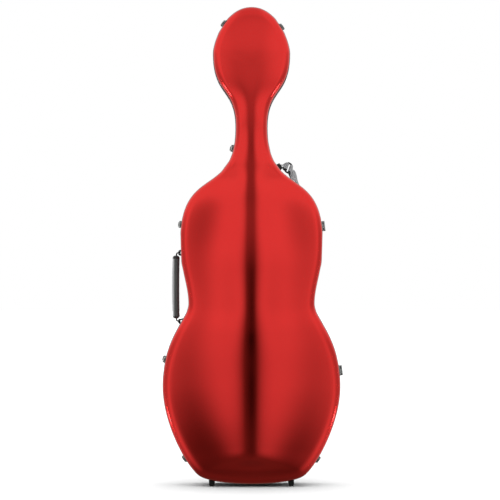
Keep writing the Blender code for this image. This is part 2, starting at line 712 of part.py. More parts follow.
bailPath = bent([(handleX - 0.0005, handleY, handleHeights[0]), (gripX, handleY, handleHeights[0]),
                 (gripX, handleY, handleHeights[1]), (handleX - 0.0005, handleY, handleHeights[1])], 0.0045)
eyes, bores = [], []
for z in handleHeights:
    eyes.append(rod(handleX, handleY, eyeR, z - 0.0027, z + 0.0027, along=2, sides=10))
    bores.append(rod(handleX, handleY, handlePinR + gap + 0.0001, z - 0.004, z + 0.004, along=2, sides=8))
bail = built([tube(bailPath, bailR, 6)] + eyes, bores)
pivot = Matrix.Translation((-handleX, -handleY, 0))
place("handle_bail", moved(bail, pivot), "steel", pivot.inverted(), smooth=40)
gripTop, gripBottom = gripEnds
bm = bmesh.new()
loops = []
for scale, z in ((0.80, gripTop), (1.0, gripTop - 0.003), (1.06, (gripTop + gripBottom) / 2),
                 (1.0, gripBottom + 0.003), (0.80, gripBottom)):
    angles = [2 * pi * k / gripSides for k in range(gripSides)]
    halfWide, halfDeep = scale * gripWide / 2, scale * gripDeep / 2
    loops.append([bm.verts.new((gripX + halfWide * cos(a), handleY + halfDeep * sin(a), z)) for a in angles])
for upper, lower in zip(loops[:-1], loops[1:]):
    for k in range(gripSides):
        m = (k + 1) % gripSides
        bm.faces.new((upper[k], upper[m], lower[m], lower[k]))
bm.faces.new(loops[0])
bm.faces.new(list(reversed(loops[-1])))
grip = built([meshOf(bm)], [rod(gripX, handleY, bailR + 0.0004, gripBottom - 0.01, gripTop + 0.01, along=2,
                                sides=10)])
place("handle_grip", moved(grip, pivot), "leather", pivot.inverted(), smooth=40)

# Feet: black rubber blocks under the bottom of both halves
for label, side in (("left", -1), ("right", 1)):
    a = b = None
    for i in range(rimCount):
        p, q = rim[i], rim[(i + 1) % rimCount]
        if min(p[0], q[0]) <= side * footX <= max(p[0], q[0]) and p[1] < 0.1:
            a, b = p, q
    flatDir = Vector((b[0] - a[0], b[1] - a[1]))
    up = shellInset - gap

    def under(x):
        return a[1] + (x - a[0]) * flatDir.y / flatDir.x + up

    x0, x1 = side * footX - footWide / 2, side * footX + footWide / 2
    for name, (y0, y1) in (("front_foot_", frontFoot), ("rear_foot_", rearFoot)):
        bm = bmesh.new()
        rows = []
        for z, shrink in ((0.0, 0.0030), (0.0022, 0.0008), (None, 0.0)):
            ring = []
            for x, y in ((x0 + shrink, y0 + shrink), (x1 - shrink, y0 + shrink), (x1 - shrink, y1 - shrink),
                         (x0 + shrink, y1 - shrink)):
                ring.append(bm.verts.new((x, y, under(x) if z is None else z)))
            rows.append(ring)
        for r0, r1 in zip(rows[:-1], rows[1:]):
            for k in range(4):
                m = (k + 1) % 4
                bm.faces.new((r0[k], r0[m], r1[m], r1[k]))
        bm.faces.new(rows[0])
        bm.faces.new(list(reversed(rows[-1])))
        place(name + label, meshOf(bm), "rubber")


# Shoulder strap: a wall bracket with a bar, a sewn tab, an oval ring, the strap, a bracket on the back
def strapBracket(frame):
    # bar runs along the frame's y axis
    posts = webWide / 2 + postClear
    plateHalf, plateHigh = bracketPlate
    low, high = bracketPost
    top = barHeight + postAbove
    plate = block((-plateHalf, plateHalf), (-posts - postThick, posts + postThick), (gap, gap + plateHigh))
    solids = [plate]
    for s in (-1, 1):
        a, b = sorted((s * posts, s * (posts + postThick)))
        solids.append(prism([(-low, gap), (low, gap), (high, top), (-high, top)], a, b, along=1))
    solids.append(rod(0, barHeight, barR, -posts - 0.001, posts + 0.001, along=1))
    mesh = built(solids)
    mesh.transform(frame)
    return mesh


def band(path, across, thickness, width, closed=False):
    # flat webbing along a line; across is the direction of its width at each point
    bm = bmesh.new()
    rings = []
    n = len(path)
    for i, p in enumerate(path):
        if closed:
            d = path[(i + 1) % n] - path[i - 1]
        else:
            d = path[min(i + 1, n - 1)] - path[max(i - 1, 0)]
        d.normalize()
        b = (across[i] - d * across[i].dot(d)).normalized()
        t = d.cross(b)
        rings.append([bm.verts.new(p + b * sb * width / 2 + t * st * thickness / 2)
                      for sb, st in ((-1, -1), (1, -1), (1, 1), (-1, 1))])
    # where the band turns, both its faces are split along the same diagonal, so they stay apart
    for i in range(n if closed else n - 1):
        (a, b, c, d), (e, f, g, h) = rings[i], rings[(i + 1) % n]
        for corners in ((a, b, f), (a, f, e), (c, d, g), (d, h, g), (b, c, g), (b, g, f), (d, a, e), (d, e, h)):
            bm.faces.new(corners)
    if not closed:
        bm.faces.new(rings[0])
        bm.faces.new(list(reversed(rings[-1])))
    return meshOf(bm)


def spline(points, steps):
    pts = [points[0] * 2 - points[1]] + list(points) + [points[-1] * 2 - points[-2]]
    out = []
    for k in range(1, len(pts) - 2):
        p0, p1, p2, p3 = pts[k - 1:k + 3]
        for i in range(steps):
            t = i / steps
            out.append(0.5 * ((2 * p1) + (p2 - p0) * t + (2 * p0 - 5 * p1 + 4 * p2 - p3) * t * t
                              + (3 * p1 - p0 - 3 * p2 + p3) * t**3))
    out.append(points[-1])
    return out


yAxis, xAxis = Vector((0, 1, 0)), Vector((1, 0, 0))
upperBracket = wallFrame(1, strapHeight) @ Matrix.Translation((0, bracketY, 0))
place("strap_bracket_upper", strapBracket(upperBracket), "steel")
barA = upperBracket @ Vector((0, 0, barHeight))
barB = barA + Vector(tabRun)
ringAcross = Vector(ringLean).normalized()


def squareTo(v, axis):
    return (v - axis * v.dot(axis)).normalized()


u = squareTo(Vector(ringHang), ringAcross)
barC = barB + u * ringInner
reach = barR + softGap + webThick / 2
loop, widths = [], []
for bar, begin, wide, lead in ((barA, pi / 2, yAxis, tabLeads[0]), (barB, -pi / 2, ringAcross, -tabLeads[1])):
    ahead = squareTo(barB - barA, wide)
    aside = ahead.cross(wide)
    arc = [begin + pi * k / 5 for k in range(6)]
    turn = [bar + reach * (cos(a) * ahead + sin(a) * aside) for a in arc]
    loop += [turn[0] + ahead * lead] + turn + [turn[-1] + ahead * lead]
    widths += [wide] * len(loop[len(widths):])
back, middle = len(loop) // 2, (yAxis + ringAcross).normalized()
loop = loop[:back] + [(loop[back - 1] + loop[back]) / 2] + loop[back:] + [(loop[-1] + loop[0]) / 2]
widths = widths[:back] + [middle] + widths[back:] + [middle]
place("strap_tab", band(loop, widths, webThick, webWide, closed=True), "webbing")

ringHalf = webWide / 2 + ringEnd
oval = []
for p, sy, su in ((barB, -1, 1), (barC, -1, -1), (barC, 1, -1), (barB, 1, 1)):
    base = p + ringAcross * sy * ringHalf
    first = base + u * su * ringCorner
    second = base - ringAcross * sy * ringCorner
    pair = (first, second) if (p is barC and sy < 0) or (p is barB and sy > 0) else (second, first)
    for k in range(3):
        t = k / 2
        oval.append(pair[0] * (1 - t)**2 + base * 2 * t * (1 - t) + pair[1] * t * t)
place("strap_ring", tube(oval, barR - 0.0002, 6, closed=True), "steel", smooth=60)


def onBack(x, z):
    return backTree.ray_cast(Vector((lowerSeat[0] + x, 1.0, lowerSeat[1] + z)), Vector((0, -1, 0)))[0]


bm = bmesh.new()
bm.from_mesh(baseShell.data)
backTree = BVHTree.FromBMesh(bm)
bm.free()
seat = onBack(0, 0)
seatWide, seatLong = webWide / 2 + postClear + postThick, bracketPlate[0]
seatUp = onBack(0, seatLong) - onBack(0, -seatLong)
normal = seatUp.cross(onBack(seatWide, 0) - onBack(-seatWide, 0)).normalized()
normal = normal if normal.y > 0 else -normal
spots = [onBack(seatWide * i / 2, seatLong * j) for i in (-2, -1, 0, 1, 2) for j in (-1, 0, 1)]
seat = seat + normal * max((p - seat).dot(normal) for p in spots)
lowerAcross = squareTo(xAxis, normal)
lowerAlong = lowerAcross.cross(normal)
lowerBracket = Matrix((lowerAlong, lowerAcross, normal)).transposed().to_4x4()
lowerBracket.translation = seat
place("strap_bracket_lower", strapBracket(lowerBracket), "steel")
barD = lowerBracket @ Vector((0, 0, barHeight))


def fold(bar, leave, out):
    # strap end folded round a bar and laid back along itself
    lay = webThick + softGap
    flatFrom, openFrom = foldCloses
    shape = [(foldEnds[0], lay), (flatFrom, lay), (openFrom, lay + reach * 0.55)]
    arc = [radians(a) for a in range(70, 271, 40)]
    shape += [(reach * cos(a), reach + reach * sin(a)) for a in arc]
    shape += [(openFrom, 0.0), (foldEnds[1], 0.0)]
    return [bar + leave * a + out * (b - reach) for a, b in shape]


leaveUp = squareTo(Vector(strapLeaves), ringAcross)
startFold = fold(barC, leaveUp, leaveUp.cross(ringAcross))
leaveLow = squareTo(Vector(strapArrives), lowerAcross)
outLow = lowerAcross.cross(leaveLow)
outLow = outLow if outLow.y > 0 else -outLow
endFold = fold(barD, leaveLow, outLow)
guide = startFold[-1:] + [Vector(p) for p in strapRun] + [endFold[-1]]
strapPath = startFold[:-1] + spline(guide, 2) + endFold[:-1][::-1]
turning, gone = [], 0.0
for i, p in enumerate(strapPath):
    if i >= len(startFold):
        gone += (p - strapPath[i - 1]).length
    k = min(gone / strapTurns, 1.0)
    turning.append((ringAcross * (1 - k) - lowerAcross * k).normalized())
place("shoulder_strap", band(strapPath, turning, webThick, webWide), "webbing")

# Padding in the base half
def wallPad(name, indices, thick, depths, notch=None):
    outerLine = inset(shellInset + linerInner + softGap)
    innerLine = inset(shellInset + linerInner + softGap + thick)
    outer = [outerLine[i % rimCount] for i in indices]
    inner = [innerLine[i % rimCount] for i in indices][::-1]
    if notch:
        top = max(p[1] for p in inner)
        r, deep = notch
        first, last = inner[0], inner[-1]
        s = 1 if last[0] > first[0] else -1
        inner = [np.array([first[0], top]), np.array([-s * r, top])]
        inner += [np.array([-s * r * cos(pi * k / 6), top - deep * sin(pi * k / 6)]) for k in range(1, 6)]
        inner += [np.array([s * r, top]), np.array([last[0], top])]
    place(name, prism([(p[0], p[1]) for p in outer + inner], *depths, along=1), "foam")


def rimIndex(side, z):
    return min(range(rimCount), key=lambda i: abs(rim[i][1] - z) + (0 if side * rim[i][0] > 0 else 9))


bottomIndex = len(half) - 1
wallPad("end_block", range(bottomIndex - 2, bottomIndex + 3), endBlockThick, endBlockDepths, notch=endNotch)
for label, side in (("left", -1), ("right", 1)):
    first, last = sorted(rimIndex(side, z) for z in shoulderHeights)
    wallPad("shoulder_pad_" + label, range(first, last + 1), shoulderThick, shoulderDepths)

bm = bmesh.new()
bm.from_mesh(baseLiner.data)
linerTree = BVHTree.FromBMesh(bm)
bm.free()


def bowl(x):
    # least depth of the liner over the length of the cradle
    depths = []
    for z in np.linspace(cradleZ[0], cradleZ[1], 9):
        hit = linerTree.ray_cast(Vector((x, 0.0, z)), Vector((0, 1, 0)))
        depths.append(hit[0].y)
    return min(depths) - softGap


neckHalf = outline[2][0] - shellInset - linerInner - softGap - 0.0002
restHalf, restDeep = neckRest
xs = [-neckHalf, -0.024, -0.016, -0.008, 0.0, 0.008, 0.016, 0.024, neckHalf]
cradle = [(x, bowl(x)) for x in xs]
cradle += [(neckHalf, cradleTop), (restHalf, cradleTop)]
cradle += [(restHalf * cos(pi * k / 8), cradleTop + restDeep * sin(pi * k / 8)) for k in range(1, 8)]
cradle += [(-restHalf, cradleTop), (-neckHalf, cradleTop)]
place("neck_cradle", prism(cradle, *cradleZ, along=2), "foam")
bandY = cradleTop - gap - webThick
middleZ = sum(cradleZ) / 2
place("neck_strap", block((-neckHalf, neckHalf), (bandY, bandY + webThick),
                          (middleZ - neckStrapHalf, middleZ + neckStrapHalf)), "webbing")

# Bow holder in the lid: a pouch for the tip, a block with a turning button at the frog
bm = bmesh.new()
bm.from_mesh(lidLiner.data)
lidTree = BVHTree.FromBMesh(bm)
bm.free()


def lidFloor(halfWide, heights):
    # least depth of the liner behind a piece
    depths = []
    for x in np.linspace(bowX - halfWide, bowX + halfWide, 7):
        for z in np.linspace(*heights, 9):
            depths.append(-lidTree.ray_cast(Vector((x, 0.0, z)), Vector((0, -1, 0)))[0].y)
    return softGap - min(depths)


floorY = lidFloor(blockHalf, blockZ)
blockTop = floorY + blockHigh
grooveTop, grooveFloor, grooveRise = bowGroove
stick = [(bowX - blockHalf, floorY), (bowX + blockHalf, floorY), (bowX + blockHalf, blockTop),
         (bowX + grooveTop, blockTop), (bowX + grooveFloor, floorY + grooveRise),
         (bowX - grooveFloor, floorY + grooveRise), (bowX - grooveTop, blockTop), (bowX - blockHalf, blockTop)]
buttonAt = (bowX + buttonOff, sum(blockZ) / 2)
bowBlock = built([prism(stick, *blockZ, along=2)],
                 [rod(*buttonAt, 0.0028, blockTop - 0.008, blockTop + 0.006, along=1)])
place("bow_block", bowBlock, "foam")
knobY = blockTop + gap
wing = [(-0.0055, -0.0045), (0.0050, -0.0045), (0.0065, 0.0), (0.0050, 0.0045), (-0.0055, 0.0045),
        (-0.0260, 0.0030), (-0.0275, 0.0), (-0.0260, -0.0030)]
button = built([prism([(b, a) for a, b in wing], 0.0, 0.0035, along=1),
                rod(0, 0, 0.0024, -0.006, 0.001, along=1)])
place("bow_turn_button", button, "steel", Matrix.Translation((buttonAt[0], knobY, buttonAt[1])))
pouchY = lidFloor(pouchHalf, pouchZ)
pouch = [(bowX + share * pouchHalf, pouchY + rise * pouchHigh)
         for share, rise in ((-1, 0), (1, 0), (0.87, 0.44), (0.40, 1), (-0.40, 1), (-0.87, 0.44))]
place("bow_pouch", prism(pouch, *pouchZ, along=2), "velour")
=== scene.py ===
# Hard cello case in red lacquer, standing on rubber feet. Metres, Z up, the lid towards -Y.
import json
import bpy
import bmesh
import numpy as np
from math import copysign, sin, cos, pi, radians
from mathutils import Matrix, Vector
from mathutils.bvhtree import BVHTree


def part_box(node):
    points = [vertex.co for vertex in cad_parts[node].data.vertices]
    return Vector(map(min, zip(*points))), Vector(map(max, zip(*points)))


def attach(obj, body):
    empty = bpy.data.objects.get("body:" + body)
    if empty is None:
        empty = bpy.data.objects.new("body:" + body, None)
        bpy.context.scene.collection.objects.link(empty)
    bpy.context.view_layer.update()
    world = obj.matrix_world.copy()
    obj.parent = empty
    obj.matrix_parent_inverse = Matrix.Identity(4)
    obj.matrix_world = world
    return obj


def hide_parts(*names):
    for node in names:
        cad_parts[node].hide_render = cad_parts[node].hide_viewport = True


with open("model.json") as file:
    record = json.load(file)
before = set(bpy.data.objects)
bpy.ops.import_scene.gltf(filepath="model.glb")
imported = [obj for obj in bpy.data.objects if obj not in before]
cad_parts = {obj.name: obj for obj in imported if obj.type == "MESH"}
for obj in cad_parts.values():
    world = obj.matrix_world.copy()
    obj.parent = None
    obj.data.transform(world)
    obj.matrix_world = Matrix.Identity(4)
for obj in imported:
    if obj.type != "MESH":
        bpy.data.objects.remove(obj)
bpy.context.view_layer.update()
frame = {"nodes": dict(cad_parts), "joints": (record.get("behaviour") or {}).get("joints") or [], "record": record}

scene = bpy.context.scene
bodyOf = {node: body for body, nodes in frame["record"]["behaviour"]["bodies"].items() for node in nodes}
slotOf = {row["node"]: row["material_slot"] for row in frame["record"]["subparts"]}
print("frame loaded:", len(frame["nodes"]), "nodes")


# Camera: long lens at the height of the waist, square to the lid
view = {"distance": 7.0, "frameWide": 1.3905, "middleX": -0.0042, "middleZ": 0.6549}
cameraData = bpy.data.cameras.new("camera")
cameraData.sensor_width = 36
cameraData.lens = 36 * view["distance"] / view["frameWide"]
cameraData.clip_end = 100
camera = bpy.data.objects.new("camera", cameraData)
scene.collection.objects.link(camera)
camera.location = (view["middleX"], -view["distance"], view["middleZ"])
camera.rotation_euler = (radians(90), 0, 0)
scene.camera = camera


# Small helpers
def colour(code):
    # sRGB hex to linear
    out = []
    for k in (0, 2, 4):
        v = int(code[k:k + 2], 16) / 255
        out.append(v / 12.92 if v <= 0.04045 else ((v + 0.055) / 1.055) ** 2.4)
    return (*out, 1.0)


def addNode(tree, kind, settings=None, links=None):
    node = tree.nodes.new(kind)
    for key, value in (settings or {}).items():
        if isinstance(key, str) and hasattr(node, key):
            setattr(node, key, value)
        else:
            node.inputs[key].default_value = value
    for key, source in (links or {}).items():
        tree.links.new(source, node.inputs[key])
    return node


def finish(name, settings):
    mat = bpy.data.materials.new(name)
    mat.use_nodes = True
    for key, value in settings.items():
        mat.node_tree.nodes["Principled BSDF"].inputs[key].default_value = value
    return mat


def toShader(mat, source, socket="Base Color"):
    mat.node_tree.links.new(source, mat.node_tree.nodes["Principled BSDF"].inputs[socket])


def texture(mat, kind, apart, settings=None, place=("TexCoord", "Object")):
    # texture with marks about this far apart on the piece, in metres
    where = addNode(mat.node_tree, "ShaderNode" + place[0]).outputs[place[1]]
    return addNode(mat.node_tree, "ShaderNodeTex" + kind, {"Scale": 1 / apart, **(settings or {})},
                   {"Vector": where})


def noise(mat, apart, detail):
    return texture(mat, "Noise", apart, {"Detail": detail}).outputs["Fac"]


def ramp(mat, source, *stops):
    node = addNode(mat.node_tree, "ShaderNodeValToRGB", links={"Fac": source})
    for element, (at, code) in zip(node.color_ramp.elements, stops):
        element.position = at
        element.color = colour(code)
    return node.outputs["Color"]


def maths(tree, a, b, operation="MULTIPLY"):
    node = addNode(tree, "ShaderNodeMath", {"operation": operation})
    for k, value in enumerate((a, b)):
        if isinstance(value, (int, float)):
            node.inputs[k].default_value = value
        else:
            tree.links.new(value, node.inputs[k])
    return node.outputs["Value"]


def mapped(tree, source, low, high, start=0.0, end=1.0, kind="LINEAR"):
    return addNode(tree, "ShaderNodeMapRange", {
        "interpolation_type": kind, "From Min": low, "From Max": high, "To Min": start, "To Max": end},
        {"Value": source}).outputs["Result"]


def relief(mat, height, strength, deep, socket="Normal"):
    bump = addNode(mat.node_tree, "ShaderNodeBump", {"Strength": strength, "Distance": deep},
                   {"Height": height})
    toShader(mat, bump.outputs["Normal"], socket)


def grained(name, settings, apart, detail, stops, strength, deep, rough=None):
    # one grain gives the colour, the relief and, where it wears, the gloss
    mat = finish(name, settings)
    grain = noise(mat, apart, detail)
    toShader(mat, ramp(mat, grain, *stops))
    relief(mat, grain, strength, deep)
    if rough:
        toShader(mat, mapped(mat.node_tree, grain, 0, 1, *rough), "Roughness")
    return mat


# Finishes
def redLacquer():
    # moulded composite sprayed with metallic red and clear coat: deep red, bright where it faces the lamps,
    # with a sharp thin reflection on top; flakes of 0.8 mm, faint ripple of the sprayed coat
    mat = finish("sprayed_metallic_red_clear_coat", {
        "Metallic": 1.0, "Roughness": 0.18, "Coat Weight": 0.40, "Coat Roughness": 0.06, "Coat IOR": 1.5})
    base = ramp(mat, noise(mat, 0.25, 2.0), (0.35, "F52D2B"), (0.65, "FA312E"))
    spark = addNode(mat.node_tree, "ShaderNodeMix", {"data_type": "RGBA", "blend_type": "MULTIPLY", 0: 0.10},
                    {6: base, 7: texture(mat, "Voronoi", 0.0008).outputs["Color"]})
    toShader(mat, spark.outputs[2])
    relief(mat, noise(mat, 0.018, 1.0), 0.015, 0.0004, "Coat Normal")
    return mat


def anodisedEdge():
    # extruded aluminium, satin anodised grey with a violet cast; fine die lines
    return grained("satin_anodised_aluminium", {"Metallic": 0.7, "Roughness": 0.36}, 0.0015, 3.0,
                   ((0.3, "A49CA8"), (0.7, "B8B0BC")), 0.10, 0.0002)


def darkNickel():
    # pressed steel, nickel plated and tumbled: grey, soft gloss, worn brighter where fingers rub
    return grained("tumbled_nickel_plate", {"Metallic": 1.0}, 0.006, 5.0,
                   ((0.35, "9A9A9C"), (0.65, "B6B6B8")), 0.08, 0.0003, (0.22, 0.42))


def blackSteel():
    # steel, black powder coat: half gloss with a fine pebble of 0.8 mm
    return grained("black_powder_coated_steel", {"Roughness": 0.42, "Specular IOR Level": 0.5}, 0.0008, 2.0,
                   ((0.3, "101012"), (0.7, "1C1C1F")), 0.25, 0.0001)


def footRubber():
    # moulded rubber: matt black, dusty grey at the pores
    return grained("moulded_black_rubber", {"Roughness": 0.68, "Specular IOR Level": 0.35}, 0.0010, 4.0,
                   ((0.35, "0C0C0C"), (0.7, "1D1D1D")), 0.3, 0.0002)


def gripLeather():
    # black split leather: fine pores about 1.3 mm apart, soft creases, sheen on the raised grain
    mat = finish("black_grained_leather", {
        "Specular IOR Level": 0.5, "Coat Weight": 0.2, "Coat Roughness": 0.32,
        "Sheen Weight": 0.8, "Sheen Roughness": 0.35, "Sheen Tint": colour("D8D8DC")})
    tree = mat.node_tree
    grain = texture(mat, "Voronoi", 0.0013, {"feature": "DISTANCE_TO_EDGE"}).outputs["Distance"]
    creases = noise(mat, 0.012, 4.0)
    base = ramp(mat, grain, (0.0, "363838"), (0.25, "646665"))
    # painted highlight: a pale strip along the outer front corner, strongest where it is seen edge-on, standing in
    # for the side light's sheen on the leather; wrapped once more at both ends
    place = addNode(tree, "ShaderNodeTexCoord")
    spot = addNode(tree, "ShaderNodeSeparateXYZ", links={0: place.outputs["Object"]}).outputs
    painted_highlight = mapped(tree, addNode(tree, "ShaderNodeLayerWeight").outputs["Facing"], 0.02, 0.30, 0.50)
    for axis, low, high in (("X", -0.2140, -0.2172), ("Y", 0.0370, 0.0325)):
        painted_highlight = maths(tree, painted_highlight, mapped(tree, spot[axis], low, high))
    fromMiddle = maths(tree, maths(tree, spot["Z"], 0.55, "SUBTRACT"), 0.0, "ABSOLUTE")
    # B0B0B2 is the painted highlight on the outer front corner; 1E1E20 is the darker extra wrap at both ends
    for factor, code in ((painted_highlight, "B0B0B2"), (mapped(tree, fromMiddle, 0.0800, 0.0815), "1E1E20")):
        base = addNode(tree, "ShaderNodeMix", {"data_type": "RGBA", 7: colour(code)},
                       {0: factor, 6: base}).outputs[2]
    toShader(mat, base)
    toShader(mat, mapped(tree, creases, 0, 1, 0.38, 0.62), "Roughness")
    relief(mat, maths(tree, grain, creases, "ADD"), 0.5, 0.0004)
    return mat


def nylonWebbing():
    # woven nylon, dark grey, matt; waves repeat every pi / 10 of their size, so the ribs lie 1.0 mm apart
    # across the strap and 1.3 mm along it
    mat = finish("woven_nylon_webbing", {"Roughness": 0.82, "Sheen Weight": 0.25, "Sheen Roughness": 0.5})
    ribs, rows = (texture(mat, "Wave", size, {"bands_direction": axis}, ("UVMap", "UV")).outputs["Fac"]
                  for size, axis in ((0.0032, "X"), (0.0040, "Y")))
    weave = maths(mat.node_tree, ribs, rows)
    toShader(mat, ramp(mat, weave, (0.0, "6E6E70"), (0.8, "B2B2B4")))
    relief(mat, weave, 0.6, 0.0004)
    return mat


def sewnThread():
    # bonded nylon sewing thread, dark grey: twisted, slightly shiny
    mat = finish("bonded_nylon_thread", {"Roughness": 0.55, "Sheen Weight": 0.2})
    ply = texture(mat, "Wave", 0.0016, {"bands_direction": "DIAGONAL"})
    toShader(mat, ramp(mat, ply.outputs["Fac"], (0.2, "3C3C40"), (0.8, "6E6E73")))
    return mat


def velour(name, low, high, pile):
    # knitted velour: short pile that catches the light at its edges, brushed in soft patches
    mat = finish(name, {"Roughness": 0.95, "Sheen Weight": 0.6, "Sheen Roughness": 0.4,
                        "Specular IOR Level": 0.1})
    hairs = noise(mat, pile, 2.0)
    toShader(mat, ramp(mat, maths(mat.node_tree, noise(mat, 0.06, 3.0), hairs), (0.1, low), (0.45, high)))
    relief(mat, hairs, 0.6, 0.0006)
    return mat


finishes = {
    "red_lacquer": redLacquer(), "valance_aluminium": anodisedEdge(), "latch_steel": darkNickel(),
    "black_steel": blackSteel(), "grip_leather": gripLeather(), "grey_webbing": nylonWebbing(),
    "foot_rubber": footRubber(), "velour_lining": velour("knitted_velour_lining", "2A2A2E", "4A4A50", 0.0012),
    "foam_padding": velour("velour_over_foam", "333338", "55555B", 0.0010),
}
print("finishes made:", len(finishes))


# A new piece goes on its body, with the finish of the CAD node that it stands for
def takeOver(piece, node):
    slot = slotOf[node]
    piece.data.materials.clear()
    piece.data.materials.append(finishes[slot])
    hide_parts(node)
    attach(piece, bodyOf[node])
    return piece


def addObject(name, mesh):
    piece = bpy.data.objects.new(name, mesh)
    scene.collection.objects.link(piece)
    return piece


def addPiece(name, mesh, sharpAngle=35):
    mesh.shade_smooth()
    mesh.set_sharp_from_angle(angle=radians(sharpAngle))
    return addObject(name, mesh)


def opened(mesh, weld=0.0):
    bm = bmesh.new()
    bm.from_mesh(mesh)
    if weld:
        bmesh.ops.remove_doubles(bm, verts=bm.verts, dist=weld)
    return bm


def toMesh(bm, name):
    # faces turned outwards, written to a new mesh
    bmesh.ops.recalc_face_normals(bm, faces=bm.faces)
    mesh = bpy.data.meshes.new(name)
    bm.to_mesh(mesh)
    bm.free()
    return mesh


def meshFrom(verts, faces, name):
    rough = bpy.data.meshes.new("rough")
    rough.from_pydata([tuple(v) for v in verts], [], faces)
    bm = opened(rough, 0.000005)
    bpy.data.meshes.remove(rough)
    return toMesh(bm, name)


def surfaceOf(mesh):
    bm = opened(mesh)
    surface = BVHTree.FromBMesh(bm)
    bm.free()
    return surface


def ringFaces(a, b):
    # quads between two rings of corners, given as bmesh corners or as numbers
    n = len(a)
    return [(a[k], a[(k + 1) % n], b[(k + 1) % n], b[k]) for k in range(n)]


# Outline of the rim, top centre down the right side to bottom centre:
# half width, height, heading in degrees, handle before, handle after
rimSettings = {
    "stations": [
        (0.0000, 1.3300, 0.0, 0.0000, 0.0750), (0.1074, 1.2008, -90.0, 0.0280, 0.1216),
        (0.0448, 0.9940, -90.0, 0.1119, 0.2000), (0.1986, 0.6760, -90.0, 0.2225, 0.0746),
        (0.1752, 0.5060, -90.0, 0.0514, 0.0436), (0.2470, 0.2760, -90.0, 0.1406, 0.0972),
        (0.1500, 0.0320, -138.2, 0.0514, 0.0355), (0.0000, 0.0060, -180.0, 0.0307, 0.0000)],
    "spacing": 0.0065,
    # height and half length of each flat that a fitting sits on
    "seats": [(1.2795, 0.0185), (0.9372, 0.0130), (0.8850, 0.0150), (0.7209, 0.0159), (0.6667, 0.0384),
              (0.4561, 0.0220), (0.3504, 0.0136), (0.3206, 0.0166), (0.0743, 0.0140), (0.0156, 0.0120)],
}


def rimCurve(stations, count=260):
    pts = []
    for a, b in zip(stations[:-1], stations[1:]):
        ha, hb = radians(a[2]), radians(b[2])
        p = [np.array(a[:2]), np.array(a[:2]) + a[4] * np.array([cos(ha), sin(ha)]),
             np.array(b[:2]) - b[3] * np.array([cos(hb), sin(hb)]), np.array(b[:2])]
        for t in np.linspace(0, 1, count, endpoint=False):
            u = 1 - t
            pts.append(u**3 * p[0] + 3 * u * u * t * p[1] + 3 * u * t * t * p[2] + t**3 * p[3])
    pts.append(np.array(stations[-1][:2]))
    return np.array(pts)


curve = rimCurve(rimSettings["stations"])
run = np.concatenate([[0], np.cumsum(np.hypot(*np.diff(curve, axis=0).T))])
count = int(run[-1] / rimSettings["spacing"])
stops = np.linspace(0, run[-1], count + 1)
plainHalf = np.stack([np.interp(stops, run, curve[:, k]) for k in (0, 1)], axis=1)
shift, taken = np.zeros_like(plainHalf), np.zeros(len(stops), bool)
for height, halfLong in rimSettings["seats"]:
    middle = run[1:-1][np.argmin(np.abs(curve[1:-1, 1] - height))]
    ends = [np.array([np.interp(middle + s * halfLong, run, curve[:, k]) for k in (0, 1)]) for s in (-1, 1)]
    along = (ends[1] - ends[0]) / np.hypot(*(ends[1] - ends[0]))
    across = np.array([along[1], -along[0]])
    away = np.abs(stops - middle) / halfLong
    weight = np.clip((1.7 - away) / 0.8, 0, 1)
    weight = weight * weight * (3 - 2 * weight)
    move = -(weight * ((plainHalf - ends[0]) @ across))[:, None] * across
    own = away <= 1
    shift[own] = move[own]
    shift[~taken & ~own] += move[~taken & ~own]
    taken |= own
seatHalf = plainHalf + shift
seatHalf[0, 0] = seatHalf[-1, 0] = plainHalf[0, 0] = plainHalf[-1, 0] = 0.0


def wholeRim(halfPoints):
    left = halfPoints[-2:0:-1] * np.array([-1, 1])
    return np.concatenate([halfPoints, left])


plainRim, seatRim = wholeRim(plainHalf), wholeRim(seatHalf)
rimCount = len(plainRim)


def outward(points):
    d = np.roll(points, -1, axis=0) - np.roll(points, 1, axis=0)
    d /= np.hypot(d[:, 0], d[:, 1])[:, None]
    return np.stack([-d[:, 1], d[:, 0]], axis=1)


plainOut, seatOut = outward(plainRim), outward(seatRim)


def insetRim(amounts, seat=1.0):
    # the rim moved inward; seat 1 keeps the flats under the fittings, 0 leaves the plain curve
    amounts = np.broadcast_to(np.asarray(amounts, float), (rimCount,))[:, None]
    return seat * (seatRim - seatOut * amounts) + (1 - seat) * (plainRim - plainOut * amounts)


def smoothTable(table, column, levels):
    # monotone curve through the listed values
    zs = np.array([row[0] for row in table])
    vs = np.array([row[column] for row in table])
    h = np.diff(zs)
    slopes = np.diff(vs) / h
    tang = np.zeros(len(zs))
    for k in range(1, len(zs) - 1):
        if slopes[k - 1] * slopes[k] > 0:
            w1, w2 = 2 * h[k] + h[k - 1], h[k] + 2 * h[k - 1]
            tang[k] = (w1 + w2) / (w1 / slopes[k - 1] + w2 / slopes[k])
    z = np.clip(levels, zs[0], zs[-1])
    k = np.clip(np.searchsorted(zs, z, side="right") - 1, 0, len(zs) - 2)
    t = (z - zs[k]) / h[k]
    return ((1 + 2 * t) * (1 - t)**2 * vs[k] + t * (1 - t)**2 * h[k] * tang[k]
            + t * t * (3 - 2 * t) * vs[k + 1] + t * t * (t - 1) * h[k] * tang[k + 1])


